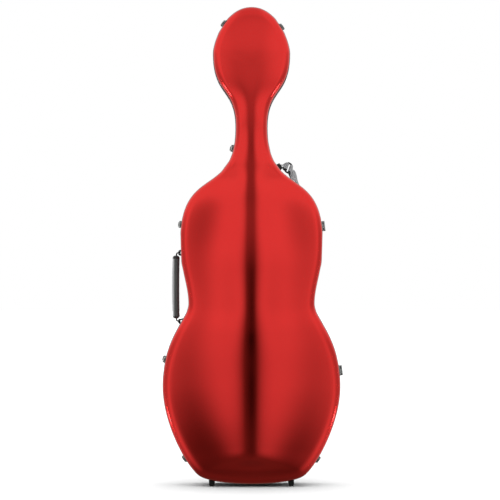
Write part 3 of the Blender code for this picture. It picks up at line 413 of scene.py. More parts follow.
# Shells: rounded corner along the rim, then a face that swells to the ridge
shellSettings = {
    "wall": 0.0035, "edgeLeg": 0.0014, "gap": 0.0003, "start": 0.00305,
    "ridgeLow": 0.069, "ridgeHigh": 1.178, "ridgeBlend": 0.044, "flattest": 0.5,
}
lidForm = {
    "name": "lid", "side": -1,
    # height, straight wall depth, corner run-in, depth at a full corner's end
    "walls": [
        (0.006, 0.037, 0.040, 0.061), (0.276, 0.039, 0.038, 0.063), (0.506, 0.070, 0.034, 0.094),
        (0.676, 0.062, 0.029, 0.086), (0.830, 0.059, 0.025, 0.083), (0.905, 0.086, 0.021, 0.110),
        (0.994, 0.083, 0.022, 0.107), (1.080, 0.065, 0.026, 0.089), (1.200, 0.040, 0.030, 0.064),
        (1.330, 0.021, 0.034, 0.045)],
    "ridge": [
        (0.045, 0.081), (0.100, 0.094), (0.200, 0.116), (0.300, 0.131), (0.440, 0.150), (0.600, 0.149),
        (0.800, 0.132), (0.900, 0.122), (0.994, 0.113), (1.080, 0.101), (1.200, 0.078), (1.300, 0.063)],
    # height, share of a plain dome in the face, how far the rest crowds to the ridge
    "swell": [
        (0.100, 0.44, 2.10), (0.200, 0.49, 1.96), (0.320, 0.50, 1.71), (0.450, 0.49, 1.53),
        (0.600, 0.48, 1.58), (0.750, 0.47, 1.91), (0.900, 0.59, 1.08),
        (1.050, 0.76, 1.08), (1.210, 0.82, 1.00)],
}
baseForm = {
    "name": "base", "side": 1,
    "walls": [
        (0.006, 0.070, 0.034, 0.104), (0.276, 0.078, 0.036, 0.114), (0.506, 0.078, 0.036, 0.114),
        (0.676, 0.078, 0.036, 0.114), (0.830, 0.072, 0.034, 0.106), (0.905, 0.060, 0.029, 0.092),
        (0.994, 0.056, 0.028, 0.086), (1.080, 0.056, 0.029, 0.083), (1.200, 0.056, 0.032, 0.080),
        (1.330, 0.052, 0.030, 0.076)],
    "ridge": [
        (0.045, 0.110), (0.100, 0.118), (0.200, 0.129), (0.350, 0.136), (0.500, 0.138), (0.676, 0.136),
        (0.800, 0.124), (0.900, 0.104), (0.994, 0.092), (1.080, 0.090), (1.200, 0.089), (1.300, 0.083)],
    "swell": [(0.100, 0.50, 1.40), (0.676, 0.50, 1.40), (0.900, 0.60, 1.20), (1.050, 0.80, 1.00)],
}
shellInset = shellSettings["edgeLeg"] + shellSettings["gap"]


def slopeOf(table, levels, apart=0.003):
    upper, lower = (smoothTable(table, 1, levels + k * apart) for k in (1, -1))
    return (upper - lower) / (2 * apart)


def spineHeight(z):
    # heights near the two ends of the ridge gather towards them
    low, high, blend = (shellSettings[k] for k in ("ridgeLow", "ridgeHigh", "ridgeBlend"))
    z = low + blend * np.logaddexp(0, (z - low) / blend)
    return high - blend * np.logaddexp(0, (high - z) / blend)


def skinRows(form, depthIn, start, corners, faces):
    level, runIn, edge = (smoothTable(form["walls"], c, plainRim[:, 1]) for c in (1, 2, 3))
    high, deep = edge - level - depthIn, runIn - depthIn
    rows = []

    def row(ring, depth):
        rows.append(np.stack([ring[:, 0], np.broadcast_to(depth, (rimCount,)), ring[:, 1]], axis=1))

    # the corner turns until its slope meets the slope that the face starts with
    turn = np.full(rimCount, pi / 2)
    for _ in range(4):
        last = insetRim(shellInset + runIn - deep * np.cos(turn), seat=0.0)
        spine = spineHeight(last[:, 1])
        dome, crowd = (smoothTable(form["swell"], c, spine) for c in (1, 2))
        swell = smoothTable(form["ridge"], 1, last[:, 1]) - depthIn - level - high * np.sin(turn)
        toSpine = np.stack([-last[:, 0], spine - last[:, 1]], axis=1)
        length = np.hypot(toSpine[:, 0], toSpine[:, 1])
        facing = np.maximum(-(toSpine * plainOut).sum(axis=1) / length, shellSettings["flattest"])
        slope = (2 * dome * swell + slopeOf(form["ridge"], last[:, 1]) * toSpine[:, 1]) / length / facing
        turn = np.arctan2(high, deep * np.maximum(slope, 0))
    wallRing = insetRim(shellInset + depthIn)
    row(wallRing, start)
    row(wallRing, start + 0.5 * (level - start))
    row(wallRing, level)
    for k in range(1, corners + 1):
        a = turn * k / corners
        ring = insetRim(shellInset + runIn - deep * np.cos(a), seat=(1 - k / corners)**2)
        row(ring, level + high * np.sin(a))
    for k in range(1, faces + 1):
        u = k / faces
        v = u**crowd
        rise = (1 - dome) * v * v * (3 - 2 * v) + dome * u * (2 - u)
        ring = last + toSpine * u
        row(ring, smoothTable(form["ridge"], 1, ring[:, 1]) - depthIn - swell * (1 - rise))
    return rows


def skin(name, form, outer, inner, start, corners=8, faces=26, insideFaces=16):
    rowsOut = skinRows(form, outer, start, corners, faces)
    rowsIn = skinRows(form, inner, start, 5, insideFaces)
    verts, faceList = [], []
    numbers = [list(range(r * rimCount, (r + 1) * rimCount)) for r in range(len(rowsOut) + len(rowsIn))]
    for rows, ownNumbers in ((rowsOut, numbers[:len(rowsOut)]), (rowsIn, numbers[len(rowsOut):])):
        for ring in rows:
            verts += [(p[0], form["side"] * p[1], p[2]) for p in ring]
        for a, b in zip(ownNumbers[:-1], ownNumbers[1:]):
            faceList += ringFaces(a, b)
    faceList += ringFaces(numbers[0], numbers[len(rowsOut)])
    return addPiece(name, meshFrom(verts, faceList, name), 40)


s = shellSettings
for form in (lidForm, baseForm):
    takeOver(skin(form["name"] + "_shell_skin", form, 0.0, s["wall"], s["start"]), form["name"] + "_shell")
print("shells made, rim points:", rimCount)


# Edge strips: an angle of aluminium round each half, a ridge on one fits a groove in the other
edgeSettings = {"depth": 0.0080, "web": 0.00275, "seam": 0.00015, "wide": 0.0084, "round": 0.0004,
                "tongue": 0.0012, "tongueHalf": 0.0008, "grooveHalf": 0.0014, "grooveDeep": 0.0018}


def edgeStrip(name, side, tongue):
    e = edgeSettings
    leg, r = shellSettings["edgeLeg"], e["round"]
    mid = shellInset + shellSettings["wall"] / 2
    section = [(e["wide"], e["seam"]), (e["wide"], e["web"]), (leg, e["web"]), (leg, e["depth"]),
               (r, e["depth"]), (0.0, e["depth"] - r), (0.0, e["seam"] + r), (r * 0.3, e["seam"] + r * 0.3),
               (r, e["seam"])]
    half, tip = (e["tongueHalf"], -e["tongue"]) if tongue else (e["grooveHalf"], e["grooveDeep"])
    section += [(mid - half, e["seam"]), (mid, tip), (mid + half, e["seam"])]
    verts, faceList = [], []
    for inward, depth in section:
        verts += [(p[0], side * depth, p[1]) for p in insetRim(inward)]
    numbers = [list(range(k * rimCount, (k + 1) * rimCount)) for k in range(len(section))]
    for a, b in zip(numbers, numbers[1:] + numbers[:1]):
        faceList += ringFaces(a, b)
    return addPiece(name, meshFrom(verts, faceList, name), 30)


takeOver(edgeStrip("base_edge_strip", 1, True), "base_valance")
takeOver(edgeStrip("lid_edge_strip", -1, False), "lid_valance")


# Liners: velour over foam that follows each shell
linerSettings = {"thick": 0.0080}
linerOut = s["wall"] + s["gap"]
for form in (lidForm, baseForm):
    liner = skin(form["name"] + "_lining", form, linerOut, linerOut + linerSettings["thick"],
                 edgeSettings["web"] + s["gap"], corners=5, faces=14)
    takeOver(liner, form["name"] + "_liner")
print("edge strips and liners made")


# Small solid pieces keep the CAD shape and get broken edges
def refined(node, width, segments=2, limit=28):
    bm = opened(frame["nodes"][node].data, 0.00001)
    bmesh.ops.dissolve_limit(bm, angle_limit=radians(1), verts=bm.verts, edges=bm.edges)
    edges = [e for e in bm.edges if len(e.link_faces) == 2 and e.calc_face_angle() > radians(limit)]
    bmesh.ops.bevel(bm, geom=edges, offset=width, offset_type="OFFSET", segments=segments, profile=0.5,
                    affect="EDGES", clamp_overlap=True)
    return takeOver(addPiece(node + "_fine", toMesh(bm, node + "_fine"), 40), node)


bevels = {"latch_steel": 0.00022, "black_steel": 0.00030, "foot_rubber": 0.0022, "foam_padding": 0.0040,
          "velour_lining": 0.0020}
remade = {"lid_shell", "base_shell", "lid_valance", "base_valance", "lid_liner", "base_liner", "handle_grip",
          "shoulder_strap", "strap_tab", "neck_strap", "strap_ring", "end_block", "shoulder_pad_left",
          "shoulder_pad_right", "neck_cradle", "bow_block", "bow_pouch"}
for node in sorted(frame["nodes"]):
    if node not in remade:
        refined(node, bevels[slotOf[node]])
print("fittings made")


# Trees of geometry nodes: heads on points, stitches along lines
def newTree(name, sockets):
    tree = bpy.data.node_groups.new(name, "GeometryNodeTree")
    tree.interface.new_socket("Geometry", in_out="INPUT", socket_type="NodeSocketGeometry")
    for label, kind in sockets:
        tree.interface.new_socket(label, in_out="INPUT", socket_type=kind)
    tree.interface.new_socket("Geometry", in_out="OUTPUT", socket_type="NodeSocketGeometry")
    return tree, tree.nodes.new("NodeGroupInput").outputs, tree.nodes.new("NodeGroupOutput")


def closeTree(tree, instances, given, end):
    real = addNode(tree, "GeometryNodeRealizeInstances", links={"Geometry": instances})
    painted = addNode(tree, "GeometryNodeSetMaterial",
                      links={"Geometry": real.outputs["Geometry"], "Material": given["Finish"]})
    tree.links.new(painted.outputs["Geometry"], end.inputs["Geometry"])
    return tree


def headTree():
    tree, given, end = newTree("heads_on_points", [
        ("Head", "NodeSocketObject"), ("Finish", "NodeSocketMaterial"), ("Seed", "NodeSocketInt")])
    head = addNode(tree, "GeometryNodeObjectInfo", {"As Instance": True}, {"Object": given["Head"]})
    aim = addNode(tree, "GeometryNodeInputNamedAttribute", {"data_type": "FLOAT_VECTOR", "Name": "aim"})
    upright = addNode(tree, "FunctionNodeAlignRotationToVector", {"axis": "Z"},
                      {"Vector": aim.outputs["Attribute"]})
    placed = addNode(tree, "GeometryNodeInstanceOnPoints", links={
        "Points": given["Geometry"], "Instance": head.outputs["Geometry"],
        "Rotation": upright.outputs["Rotation"]})
    spin = addNode(tree, "FunctionNodeRandomValue", {
        "data_type": "FLOAT_VECTOR", "Min": (0, 0, 0), "Max": (0, 0, 2 * pi)}, {"Seed": given["Seed"]})
    turned = addNode(tree, "GeometryNodeRotateInstances", links={
        "Instances": placed.outputs["Instances"], "Rotation": spin.outputs["Value"]})
    return closeTree(tree, turned.outputs["Instances"], given, end)


def stitchTree():
    tree, given, end = newTree("stitches_on_lines", [
        ("Pitch", "NodeSocketFloat"), ("Stitch", "NodeSocketFloat"), ("Thread", "NodeSocketFloat"),
        ("Finish", "NodeSocketMaterial")])
    line = addNode(tree, "GeometryNodeMeshToCurve", links={"Mesh": given["Geometry"]})
    spaced = addNode(tree, "GeometryNodeResampleCurve", {"mode": "LENGTH"},
                     {"Curve": line.outputs["Curve"], "Length": given["Pitch"]})
    tangent = addNode(tree, "GeometryNodeInputTangent")
    along = addNode(tree, "FunctionNodeAlignRotationToVector", {"axis": "X"},
                    {"Vector": tangent.outputs["Tangent"]})
    grain = addNode(tree, "GeometryNodeMeshUVSphere", {"Segments": 8, "Rings": 6, "Radius": 0.5})
    size = addNode(tree, "ShaderNodeCombineXYZ", links={
        "X": given["Stitch"], "Y": given["Thread"], "Z": given["Thread"]})
    placed = addNode(tree, "GeometryNodeInstanceOnPoints", links={
        "Points": spaced.outputs["Curve"], "Instance": grain.outputs["Mesh"],
        "Rotation": along.outputs["Rotation"], "Scale": size.outputs["Vector"]})
    return closeTree(tree, placed.outputs["Instances"], given, end)


def grow(name, mesh, tree, values, body):
    # the tree's result becomes a plain mesh on its own object
    seed = addObject(name + "_seed", mesh)
    mod = seed.modifiers.new("grow", "NODES")
    mod.node_group = tree
    for item in tree.interface.items_tree:
        if item.item_type == "SOCKET" and item.in_out == "INPUT" and item.name in values:
            mod[item.identifier] = values[item.name]
    graph = bpy.context.evaluated_depsgraph_get()
    graph.update()
    made = bpy.data.meshes.new_from_object(seed.evaluated_get(graph))
    seed.modifiers.remove(mod)
    bpy.data.objects.remove(seed, do_unlink=True)
    piece = addPiece(name, made, 50)
    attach(piece, body)
    return piece


heads, stitches = headTree(), stitchTree()
surfaces = {}


def seatedOn(node, start, toward):
    if node not in surfaces:
        surfaces[node] = surfaceOf(frame["nodes"][node].data)
    point, normal = surfaces[node].ray_cast(Vector(start), Vector(toward).normalized())[:2]
    return point, (normal if normal.dot(Vector(toward)) < 0 else -normal)


# Rivet and screw heads
headSettings = {
    "rivet": {"radius": 0.0019, "high": 0.0008, "recess": 0.0, "sides": 12, "rings": (0.0, 0.45, 0.80, 1.0)},
    "screw": {"radius": 0.0024, "high": 0.0010, "recess": 0.0007, "sides": 16,
              "rings": (0.0, 0.22, 0.50, 0.60, 0.85, 1.0)},
}
headRise = {"above": 0.00025, "below": -0.0003, "dome": 2.6, "recessTo": 0.55}


def headShape(kind):
    h = headSettings[kind]
    sides = h["sides"]
    bm = bmesh.new()
    rings = []
    for share in h["rings"]:
        ring = []
        for k in range(sides if share else 1):
            a = 2 * pi * k / sides
            z = h["high"] * (1 - share**headRise["dome"]) + headRise["above"]
            if share < headRise["recessTo"] and k % (sides // 4) == 0:
                z -= h["recess"]
            ring.append(bm.verts.new((share * cos(a) * h["radius"], share * sin(a) * h["radius"], z)))
        rings.append(ring)
    rings.append([bm.verts.new((v.co.x, v.co.y, headRise["below"])) for v in rings[-1]])
    for k in range(sides):
        bm.faces.new((rings[0][0], rings[1][k], rings[1][(k + 1) % sides]))
    for a, b in zip(rings[1:-1], rings[2:]):
        for corners in ringFaces(a, b):
            bm.faces.new(corners)
    bm.faces.new(rings[-1])
    return addObject(kind + "_head", toMesh(bm, kind))


jointOf = {joint["name"]: joint for joint in frame["joints"]}
# spots of the heads, across and along a piece; dropFrom: height that they are dropped from onto it
latchSettings = {"pivot": (0.0130, 0.0064), "plate": ((-0.0060, 0.0420), (0.0060, 0.0420), (0.0, 0.0310)),
                 "keeper": ((-0.0062, -0.0225), (0.0062, -0.0225)), "dropFrom": 0.006}
hingeSettings = {"spots": ((-0.0092, 0.0170), (0.0, 0.0255), (0.0092, 0.0170)), "dropFrom": 0.020}
bracketSettings = {"spots": [(i * 0.0095, j * 0.0125) for i in (-1, 1) for j in (-1, 1)], "dropFrom": 0.0040}
bracketFrames = {
    # middle of the plate, across, along, outwards
    "strap_bracket_upper": ((0.0731, 0.0420, 0.8840), (0.6061, 0, -0.7954), (0, 1, 0), (0.7954, 0, 0.6061)),
    "strap_bracket_lower": ((0.1500, 0.1147, 0.1850), (0, 0.0701, 0.9975), (0.9959, -0.0903, 0.0063),
                            (0.0905, 0.9934, -0.0698)),
}
spots = {}


def addHead(kind, node, start, toward):
    spots.setdefault((bodyOf[node], kind, slotOf[node]), []).append(seatedOn(node, start, toward))


back = Vector((0, 1, 0))
for name, joint in jointOf.items():
    if not name.startswith("latch_"):
        continue
    site = name[len("latch_"):]
    along = Vector(joint["axis"]).normalized()
    out = along.cross(back)
    origin = Vector(joint["pos_m"]) - back * latchSettings["pivot"][0] - out * latchSettings["pivot"][1]
    for part in ("plate", "keeper"):
        for x, y in latchSettings[part]:
            start = origin + along * x + back * y + out * latchSettings["dropFrom"]
            addHead("rivet", "latch_" + part + "_" + site, start, -out)
hingeAxis = Vector(jointOf["lid_hinge"]["axis"]).normalized()
hingeOut = back.cross(hingeAxis)
hingeOut = hingeOut if hingeOut.x > 0 else -hingeOut
for label in ("upper", "lower"):
    low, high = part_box("hinge_leaf_base_" + label)
    middle = Vector(jointOf["lid_hinge"]["pos_m"])
    middle += hingeAxis * ((low[2] + high[2]) / 2 - middle.z) / hingeAxis.z
    for part, side in (("lid", -1), ("base", 1)):
        for x, y in hingeSettings["spots"]:
            start = middle + hingeAxis * x + back * side * y + hingeOut * hingeSettings["dropFrom"]
            addHead("screw", "hinge_leaf_" + part + "_" + label, start, -hingeOut)
for node, directions in bracketFrames.items():
    origin, across, along, out = (Vector(v) for v in directions)
    for x, y in bracketSettings["spots"]:
        addHead("screw", node, origin + across * x + along * y + out * bracketSettings["dropFrom"], -out)
handleAxis = jointOf["handle_swing"]["pos_m"]
for label in ("upper", "lower"):
    low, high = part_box("handle_bracket_" + label)
    for start, side in ((low[2] - 0.01, 1), (high[2] + 0.01, -1)):
        addHead("rivet", "handle_bracket_" + label, (*handleAxis[:2], start), (0, 0, side))
knob = Vector(jointOf["bow_button_turn"]["pos_m"])
addHead("screw", "bow_turn_button", knob + back * hingeSettings["dropFrom"], -back)
shapes = {kind: headShape(kind) for kind in headSettings}
for (body, kind, slot), places in sorted(spots.items()):
    mesh = bpy.data.meshes.new("points")
    mesh.from_pydata([tuple(p) for p, n in places], [], [])
    aim = mesh.attributes.new("aim", "FLOAT_VECTOR", "POINT")
    aim.data.foreach_set("vector", [c for p, n in places for c in n])
    grow("_".join((kind, "heads", slot, body)), mesh, heads,
         {"Head": shapes[kind], "Finish": finishes[slot], "Seed": 3}, body)
for head in shapes.values():
    bpy.data.objects.remove(head, do_unlink=True)
print("heads placed:", sum(len(v) for v in spots.values()))


# Webbing: a woven band with rounded selvedges, its own map in metres along and across
webSettings = {"wide": 0.0320, "thick": 0.0016, "edgeRound": 0.0004, "cordAt": 0.0020, "cordIn": 0.0032}


def webbing(name, node, path, across, closed=False, wide=None, square=True):
    wide, thick = wide or webSettings["wide"], webSettings["thick"]
    half, t = wide / 2, thick / 2
    edge, cord, inner = (-half + webSettings[k] for k in ("edgeRound", "cordAt", "cordIn"))
    section = [(-half, 0.0), (edge, -t), (cord, -t * 1.15), (inner, -t)]
    section += [(x * half, -t) for x in (-0.55, -0.2, 0.2, 0.55)]
    section += [(-x, y) for x, y in section[3:0:-1]] + [(half, 0.0)]
    section += [(-x, -y) for x, y in section[1:-1]]
    n = len(path)
    bm = bmesh.new()
    rings, travelled = [], [0.0]
    for i, p in enumerate(path):
        ahead, behind = ((i + 1) % n, i - 1) if closed else (min(i + 1, n - 1), max(i - 1, 0))
        d = (path[ahead] - path[behind]).normalized()
        b = (across[i] - d * across[i].dot(d) * square).normalized()
        up = d.cross(b).normalized()
        rings.append([bm.verts.new(p + b * x + up * y) for x, y in section])
        travelled.append(travelled[-1] + (path[(i + 1) % n] - p).length)
    uv = bm.loops.layers.uv.new("weave")
    girth = [x + (wide + thick if k >= len(section) / 2 else 0) for k, (x, y) in enumerate(section)]
    for i in range(n if closed else n - 1):
        a, b = rings[i], rings[(i + 1) % n]
        for k in range(len(section)):
            m = (k + 1) % len(section)
            face = bm.faces.new((a[k], a[m], b[m], b[k]))
            for loop, (c, v) in zip(face.loops, ((k, i), (m, i), (m, i + 1), (k, i + 1))):
                loop[uv].uv = (girth[c], travelled[v])
    if not closed:
        bm.faces.new(rings[0])
        bm.faces.new(list(reversed(rings[-1])))
    return takeOver(addPiece(name, toMesh(bm, name), 50), node)


def spline(points, steps):
    pts = [points[0] * 2 - points[1]] + list(points) + [points[-1] * 2 - points[-2]]
    out = []
    for k in range(1, len(pts) - 2):
        p0, p1, p2, p3 = pts[k - 1:k + 3]
        for i in range(steps):
            t = i / steps
            out.append(0.5 * ((2 * p1) + (p2 - p0) * t + (2 * p0 - 5 * p1 + 4 * p2 - p3) * t * t
                              + (3 * p1 - p0 - 3 * p2 + p3) * t**3))
    return out + [points[-1]]


strapSettings = {
    # bars of the bracket, of the ring on the tab's side, and of the lower bracket
    "barUpper": (0.0799, 0.0420, 0.8891), "barRing": (0.0980, 0.0450, 0.8878),
    "barLower": (0.1508, 0.1231, 0.1844), "reach": 0.0038, "lay": 0.0022,
    "ringAcross": (0.21, 0.79, 0.57), "ringHang": (0.86, 0.25, -0.42), "leaveUpper": (0.40, 0.86, -0.36),
    "ringWide": 0.0125, "ringLong": 0.0220, "ringBar": 0.0024, "ringCorner": 0.0045, "tabWide": 0.0300,
    # gap to the shell, length sewn double at both ends, where the band starts to turn and how long it takes
    "clear": 0.0020, "sewn": (0.0185, 0.0250), "turnFrom": 0.010, "turns": 0.150,
    # sewn boxes: how far before the folded end, along, across; lead of the tab past each bar
    "boxFrom": 0.0045, "boxLong": 0.0060, "boxWide": 0.0250, "tabLead": (0.005, -0.004),
    "leaveLower": (0.0027, 0.0993, 0.9951), "outLower": (0.0905, 0.9910, -0.0991),
    "acrossLower": (0.9959, -0.0903, 0.0063),
    "run": ((0.1205, 0.0790, 0.8640), (0.1290, 0.1030, 0.8510), (0.1375, 0.1230, 0.8290),
            (0.1440, 0.1335, 0.7950), (0.1485, 0.1410, 0.7450), (0.1500, 0.1440, 0.6700),
            (0.1505, 0.1440, 0.5600), (0.1500, 0.1430, 0.3300)),
}
p = {key: Vector(v) if isinstance(v, tuple) and key not in ("run", "sewn", "tabLead") else v
     for key, v in strapSettings.items()}


def squareTo(v, axis):
    return (v - axis * v.dot(axis)).normalized()


ringAcross = p["ringAcross"].normalized()
barStrap = p["barRing"] + squareTo(p["ringHang"], ringAcross) * p["ringWide"]
leaveUpper = squareTo(p["leaveUpper"], ringAcross)
outUpper = leaveUpper.cross(ringAcross)


def fold(bar, leave, out, long):
    # strap end folded round a bar and laid back along itself
    reach, lay = p["reach"], p["lay"]
    shape = [(long, lay), (long - 0.003, lay), (long - 0.006, lay), (0.0115, lay + reach * 0.2),
             (0.0085, lay + reach * 0.55)]
    shape += [(reach * cos(radians(a)), reach + reach * sin(radians(a))) for a in range(70, 271, 20)]
    shape += [(0.005, 0.0), (0.010, 0.0), (long - 0.003, 0.0), (long + 0.001, 0.0)]
    return [bar + leave * a + out * (b - reach) for a, b in shape]


startFold = fold(barStrap, leaveUpper, outUpper, p["sewn"][0])
endFold = fold(p["barLower"], p["leaveLower"], p["outLower"], p["sewn"][1])
path = startFold[:-1] + spline(startFold[-1:] + [Vector(v) for v in p["run"]] + [endFold[-1]], 10)
path += endFold[:-1][::-1]
turning, gone = [], 0.0
for i in range(len(path)):
    if i >= len(startFold):
        gone += (path[i] - path[i - 1]).length
    k = min(max(gone - p["turnFrom"], 0.0) / p["turns"], 1.0)
    k = k * k * (3 - 2 * k)
    turning.append((ringAcross * (1 - k) - p["acrossLower"] * k).normalized())
# where an edge of the band would cut the shell, the band is lifted onto it
shellSurface = surfaceOf(bpy.data.objects["base_shell_skin"].data)
for _ in range(8):
    lifts = [Vector()] * len(path)
    for i in range(len(startFold), len(path) - len(endFold)):
        b = squareTo(turning[i], (path[i + 1] - path[i - 1]).normalized())
        for part in (-0.5, -0.25, 0.0, 0.25, 0.5):
            point = path[i] + b * webSettings["wide"] * part
            place, normal, face, far = shellSurface.find_nearest(point)
            short = p["clear"] - (point - place).dot(normal)
            if short > lifts[i].length:
                lifts[i] = normal * short
    for i in range(len(startFold), len(path) - len(endFold)):
        path[i] = path[i] + (lifts[i - 1] + lifts[i] * 2 + lifts[i + 1]) / 4
webbing("shoulder_strap_webbing", "shoulder_strap", path, turning)
# the tab turns from the bracket's bar to the ring's on its way
runs, widths = [], []
for bar, begin, wide, lead in ((p["barUpper"], pi / 2, back, p["tabLead"][0]),
                               (p["barRing"], -pi / 2, ringAcross, p["tabLead"][1])):
    ahead = squareTo(p["barRing"] - p["barUpper"], wide)
    aside = ahead.cross(wide)
    arc = [begin + pi * k / 14 for k in range(15)]
    turn = [bar + p["reach"] * (cos(a) * ahead + sin(a) * aside) for a in arc]
    runs.append([turn[0] + ahead * lead] + turn + [turn[-1] + ahead * lead])
loop = []
for (here, wide), (there, other) in zip(zip(runs, (back, ringAcross)), zip(runs[::-1], (ringAcross, back))):
    loop += here
    widths += [wide] * len(here)
    for k in range(1, 6):
        loop.append(here[-1].lerp(there[0], k / 6))
        widths.append(wide.lerp(other, k / 6).normalized())
webbing("strap_tab_webbing", "strap_tab", loop, widths, closed=True, wide=p["tabWide"], square=False)


def roundBar(points, radius, sides=12):
    # closed bar of round wire
    bm = bmesh.new()
    rings, normal, n = [], None, len(points)
    for i, point in enumerate(points):
        d = (points[(i + 1) % n] - points[i - 1]).normalized()
        normal = squareTo(normal or d.orthogonal(), d)
        other = d.cross(normal)
        turns = [2 * pi * k / sides for k in range(sides)]
        rings.append([bm.verts.new(point + radius * (cos(a) * normal + sin(a) * other)) for a in turns])
    for a, b in zip(rings, rings[1:] + rings[:1]):
        for corners in ringFaces(a, b):
            bm.faces.new(corners)
    return toMesh(bm, "bar")


hang = squareTo(p["ringHang"], ringAcross)
ringLine = []
for bar, i, j in ((p["barRing"], -1, -1), (p["barRing"], -1, 1), (barStrap, 1, 1), (barStrap, 1, -1)):
    corner = bar + ringAcross * j * p["ringLong"]
    for k in range(7):
        # i and j say which corner it is, and odd corners are gone round the other way
        a = pi / 2 * (k / 6 if i * j < 0 else 1 - k / 6)
        ringLine.append(corner - p["ringCorner"] * (hang * i * (1 - cos(a)) + ringAcross * j * (1 - sin(a))))
takeOver(addPiece("strap_ring_bar", roundBar(ringLine, p["ringBar"]), 60), "strap_ring")
low, high = (Vector(v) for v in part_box("neck_strap"))
bandY = (low.y + high.y) / 2
neckLine = [Vector((low.x + (high.x - low.x) * k / 12, bandY, (low.z + high.z) / 2)) for k in range(13)]
webbing("neck_strap_webbing", "neck_strap", neckLine, [Vector((0, 0, 1))] * 13)


# pitch, length and thickness of a stitch
stitchSettings = {"webbing": (0.0030, 0.0026, 0.0007), "grip": (0.0042, 0.0034, 0.0008)}
thread = sewnThread()


def stitchRows(kind, rows, body):
    verts, edges = [], []
    for row in rows:
        first = len(verts)
        verts += [tuple(v) for v in row]
        edges += [(first + k, first + k + 1) for k in range(len(row) - 1)]
    mesh = bpy.data.meshes.new("lines")
    mesh.from_pydata(verts, edges, [])
    values = dict(zip(("Pitch", "Stitch", "Thread"), stitchSettings[kind]), Finish=thread)
    return grow(kind + "_stitches", mesh, stitches, values, body)


def boxStitch(origin, along, across, out):
    # a sewn rectangle with a cross in it
    c = [origin + along * p["boxLong"] / 2 * i + across * p["boxWide"] / 2 * j + out * 0.0002
         for i, j in ((-1, -1), (1, -1), (1, 1), (-1, 1))]
    return [[c[0], c[1]], [c[1], c[2]], [c[2], c[3]], [c[3], c[0]], [c[0], c[2]], [c[1], c[3]]]


t = webSettings["thick"] / 2
rows = []
for bar, leave, out, across, long in (
        (barStrap, leaveUpper, outUpper, ringAcross, p["sewn"][0]),
        (p["barLower"], p["leaveLower"], p["outLower"], p["acrossLower"], p["sewn"][1])):
    sewnAt = bar + leave * (long - p["boxFrom"])
    rows += boxStitch(sewnAt + out * (p["lay"] - p["reach"] + t), leave, across, out)
    rows += boxStitch(sewnAt - out * (p["reach"] + t), leave, across, -out)
for x in (low.x + 0.003, low.x + 0.007, high.x - 0.007, high.x - 0.003):
    rows.append([Vector((x, low.y - 0.0001, low.z + 0.002)), Vector((x, low.y - 0.0001, high.z - 0.002))])
stitchRows("webbing", rows, "base")
print("strap sewn")


# Grip: leather wrapped round a core, sewn together along the side that faces the case
gripSettings = {"x": -0.2116, "wide": 0.0185, "deep": 0.0220, "sides": 40, "rings": 61, "square": 0.72,
                "bow": 0.0016, "swell": 0.06, "dome": 0.10, "neck": 0.42, "endFrom": 0.882, "endLip": 0.05,
                "seamHigh": 0.0007, "seamWide": 0.0030, "crease": 0.00025}


def gripRings():
    g = gripSettings
    low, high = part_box("handle_grip")
    middle, y = (low[2] + high[2]) / 2, (low[1] + high[1]) / 2
    half = (high[2] - low[2]) / 2
    rings = []
    for k in range(g["rings"]):
        s = -1 + 2 * k / (g["rings"] - 1)
        end = 1 - abs(s)
        scale = 1 + g["swell"] * (1 - s * s)
        scale *= g["neck"] + (1 - g["neck"]) * (1 - (1 - min(end / g["dome"], 1.0))**2)**0.5
        scale *= 1 + g["endLip"] * (abs(s) > g["endFrom"])
        scale += g["crease"] / g["wide"] * sin(s * 37) * sin(s * 11 + 1)
        z = middle + s * half
        ring = []
        for m in range(g["sides"]):
            a = 2 * pi * m / g["sides"]
            seam = max(0.0, 1 - abs((a + pi) % (2 * pi) - pi) * g["wide"] / 2 / g["seamWide"])
            r = 1 + g["seamHigh"] * seam * 2 / g["wide"] * min(1.0, end / 0.06)
            aside, ahead = (copysign(abs(v)**g["square"], v) for v in (cos(a), sin(a)))
            ring.append((g["x"] - g["bow"] * (0.5 - s * s) + scale * r * g["wide"] / 2 * aside,
                         y + scale * r * g["deep"] / 2 * ahead, z))
        rings.append(ring)
    return rings


rings = gripRings()
verts = [v for ring in rings for v in ring]
n = gripSettings["sides"]
numbers = [list(range(r * n, (r + 1) * n)) for r in range(len(rings))]
faces = [face for a, b in zip(numbers[:-1], numbers[1:]) for face in ringFaces(a, b)]
faces += [tuple(numbers[0]), tuple(numbers[-1])]
takeOver(addPiece("leather_grip", meshFrom(verts, faces, "leather_grip"), 50), "handle_grip")
rows = []
for side in (-1, 1):
    rows.append([Vector(ring[side * 2 % n]) + Vector((0.0001, 0, 0)) for ring in rings[4:-4]])
stitchRows("grip", rows, "handle")
print("grip sewn")


# Cushions: a cover a little too small, blown up by cloth with pressure, with piping round its front.
# Where a cushion lies against the lining it is held, so it bulges only where it is free
cushionSettings = {
    # cover cut smaller by, largest bulge, which way the front looks
    "end_block": (0.0022, 0.0048, -1), "shoulder_pad_left": (0.0020, 0.0050, -1),
    "shoulder_pad_right": (0.0020, 0.0050, -1), "neck_cradle": (0.0016, 0.0026, -1),
    "bow_block": (0.0010, 0.0018, 1), "bow_pouch": (0.0008, 0.0024, 1),
}
sewing = {"grid": 0.0040, "fineGrid": 0.0022, "held": 0.0035, "pressure": 4.0, "frames": 20, "piping": 0.0012,
          "pipingStep": 0.0030, "fill": 0.9}
linings = {name: surfaceOf(bpy.data.objects[name + "_lining"].data) for name in ("base", "lid")}


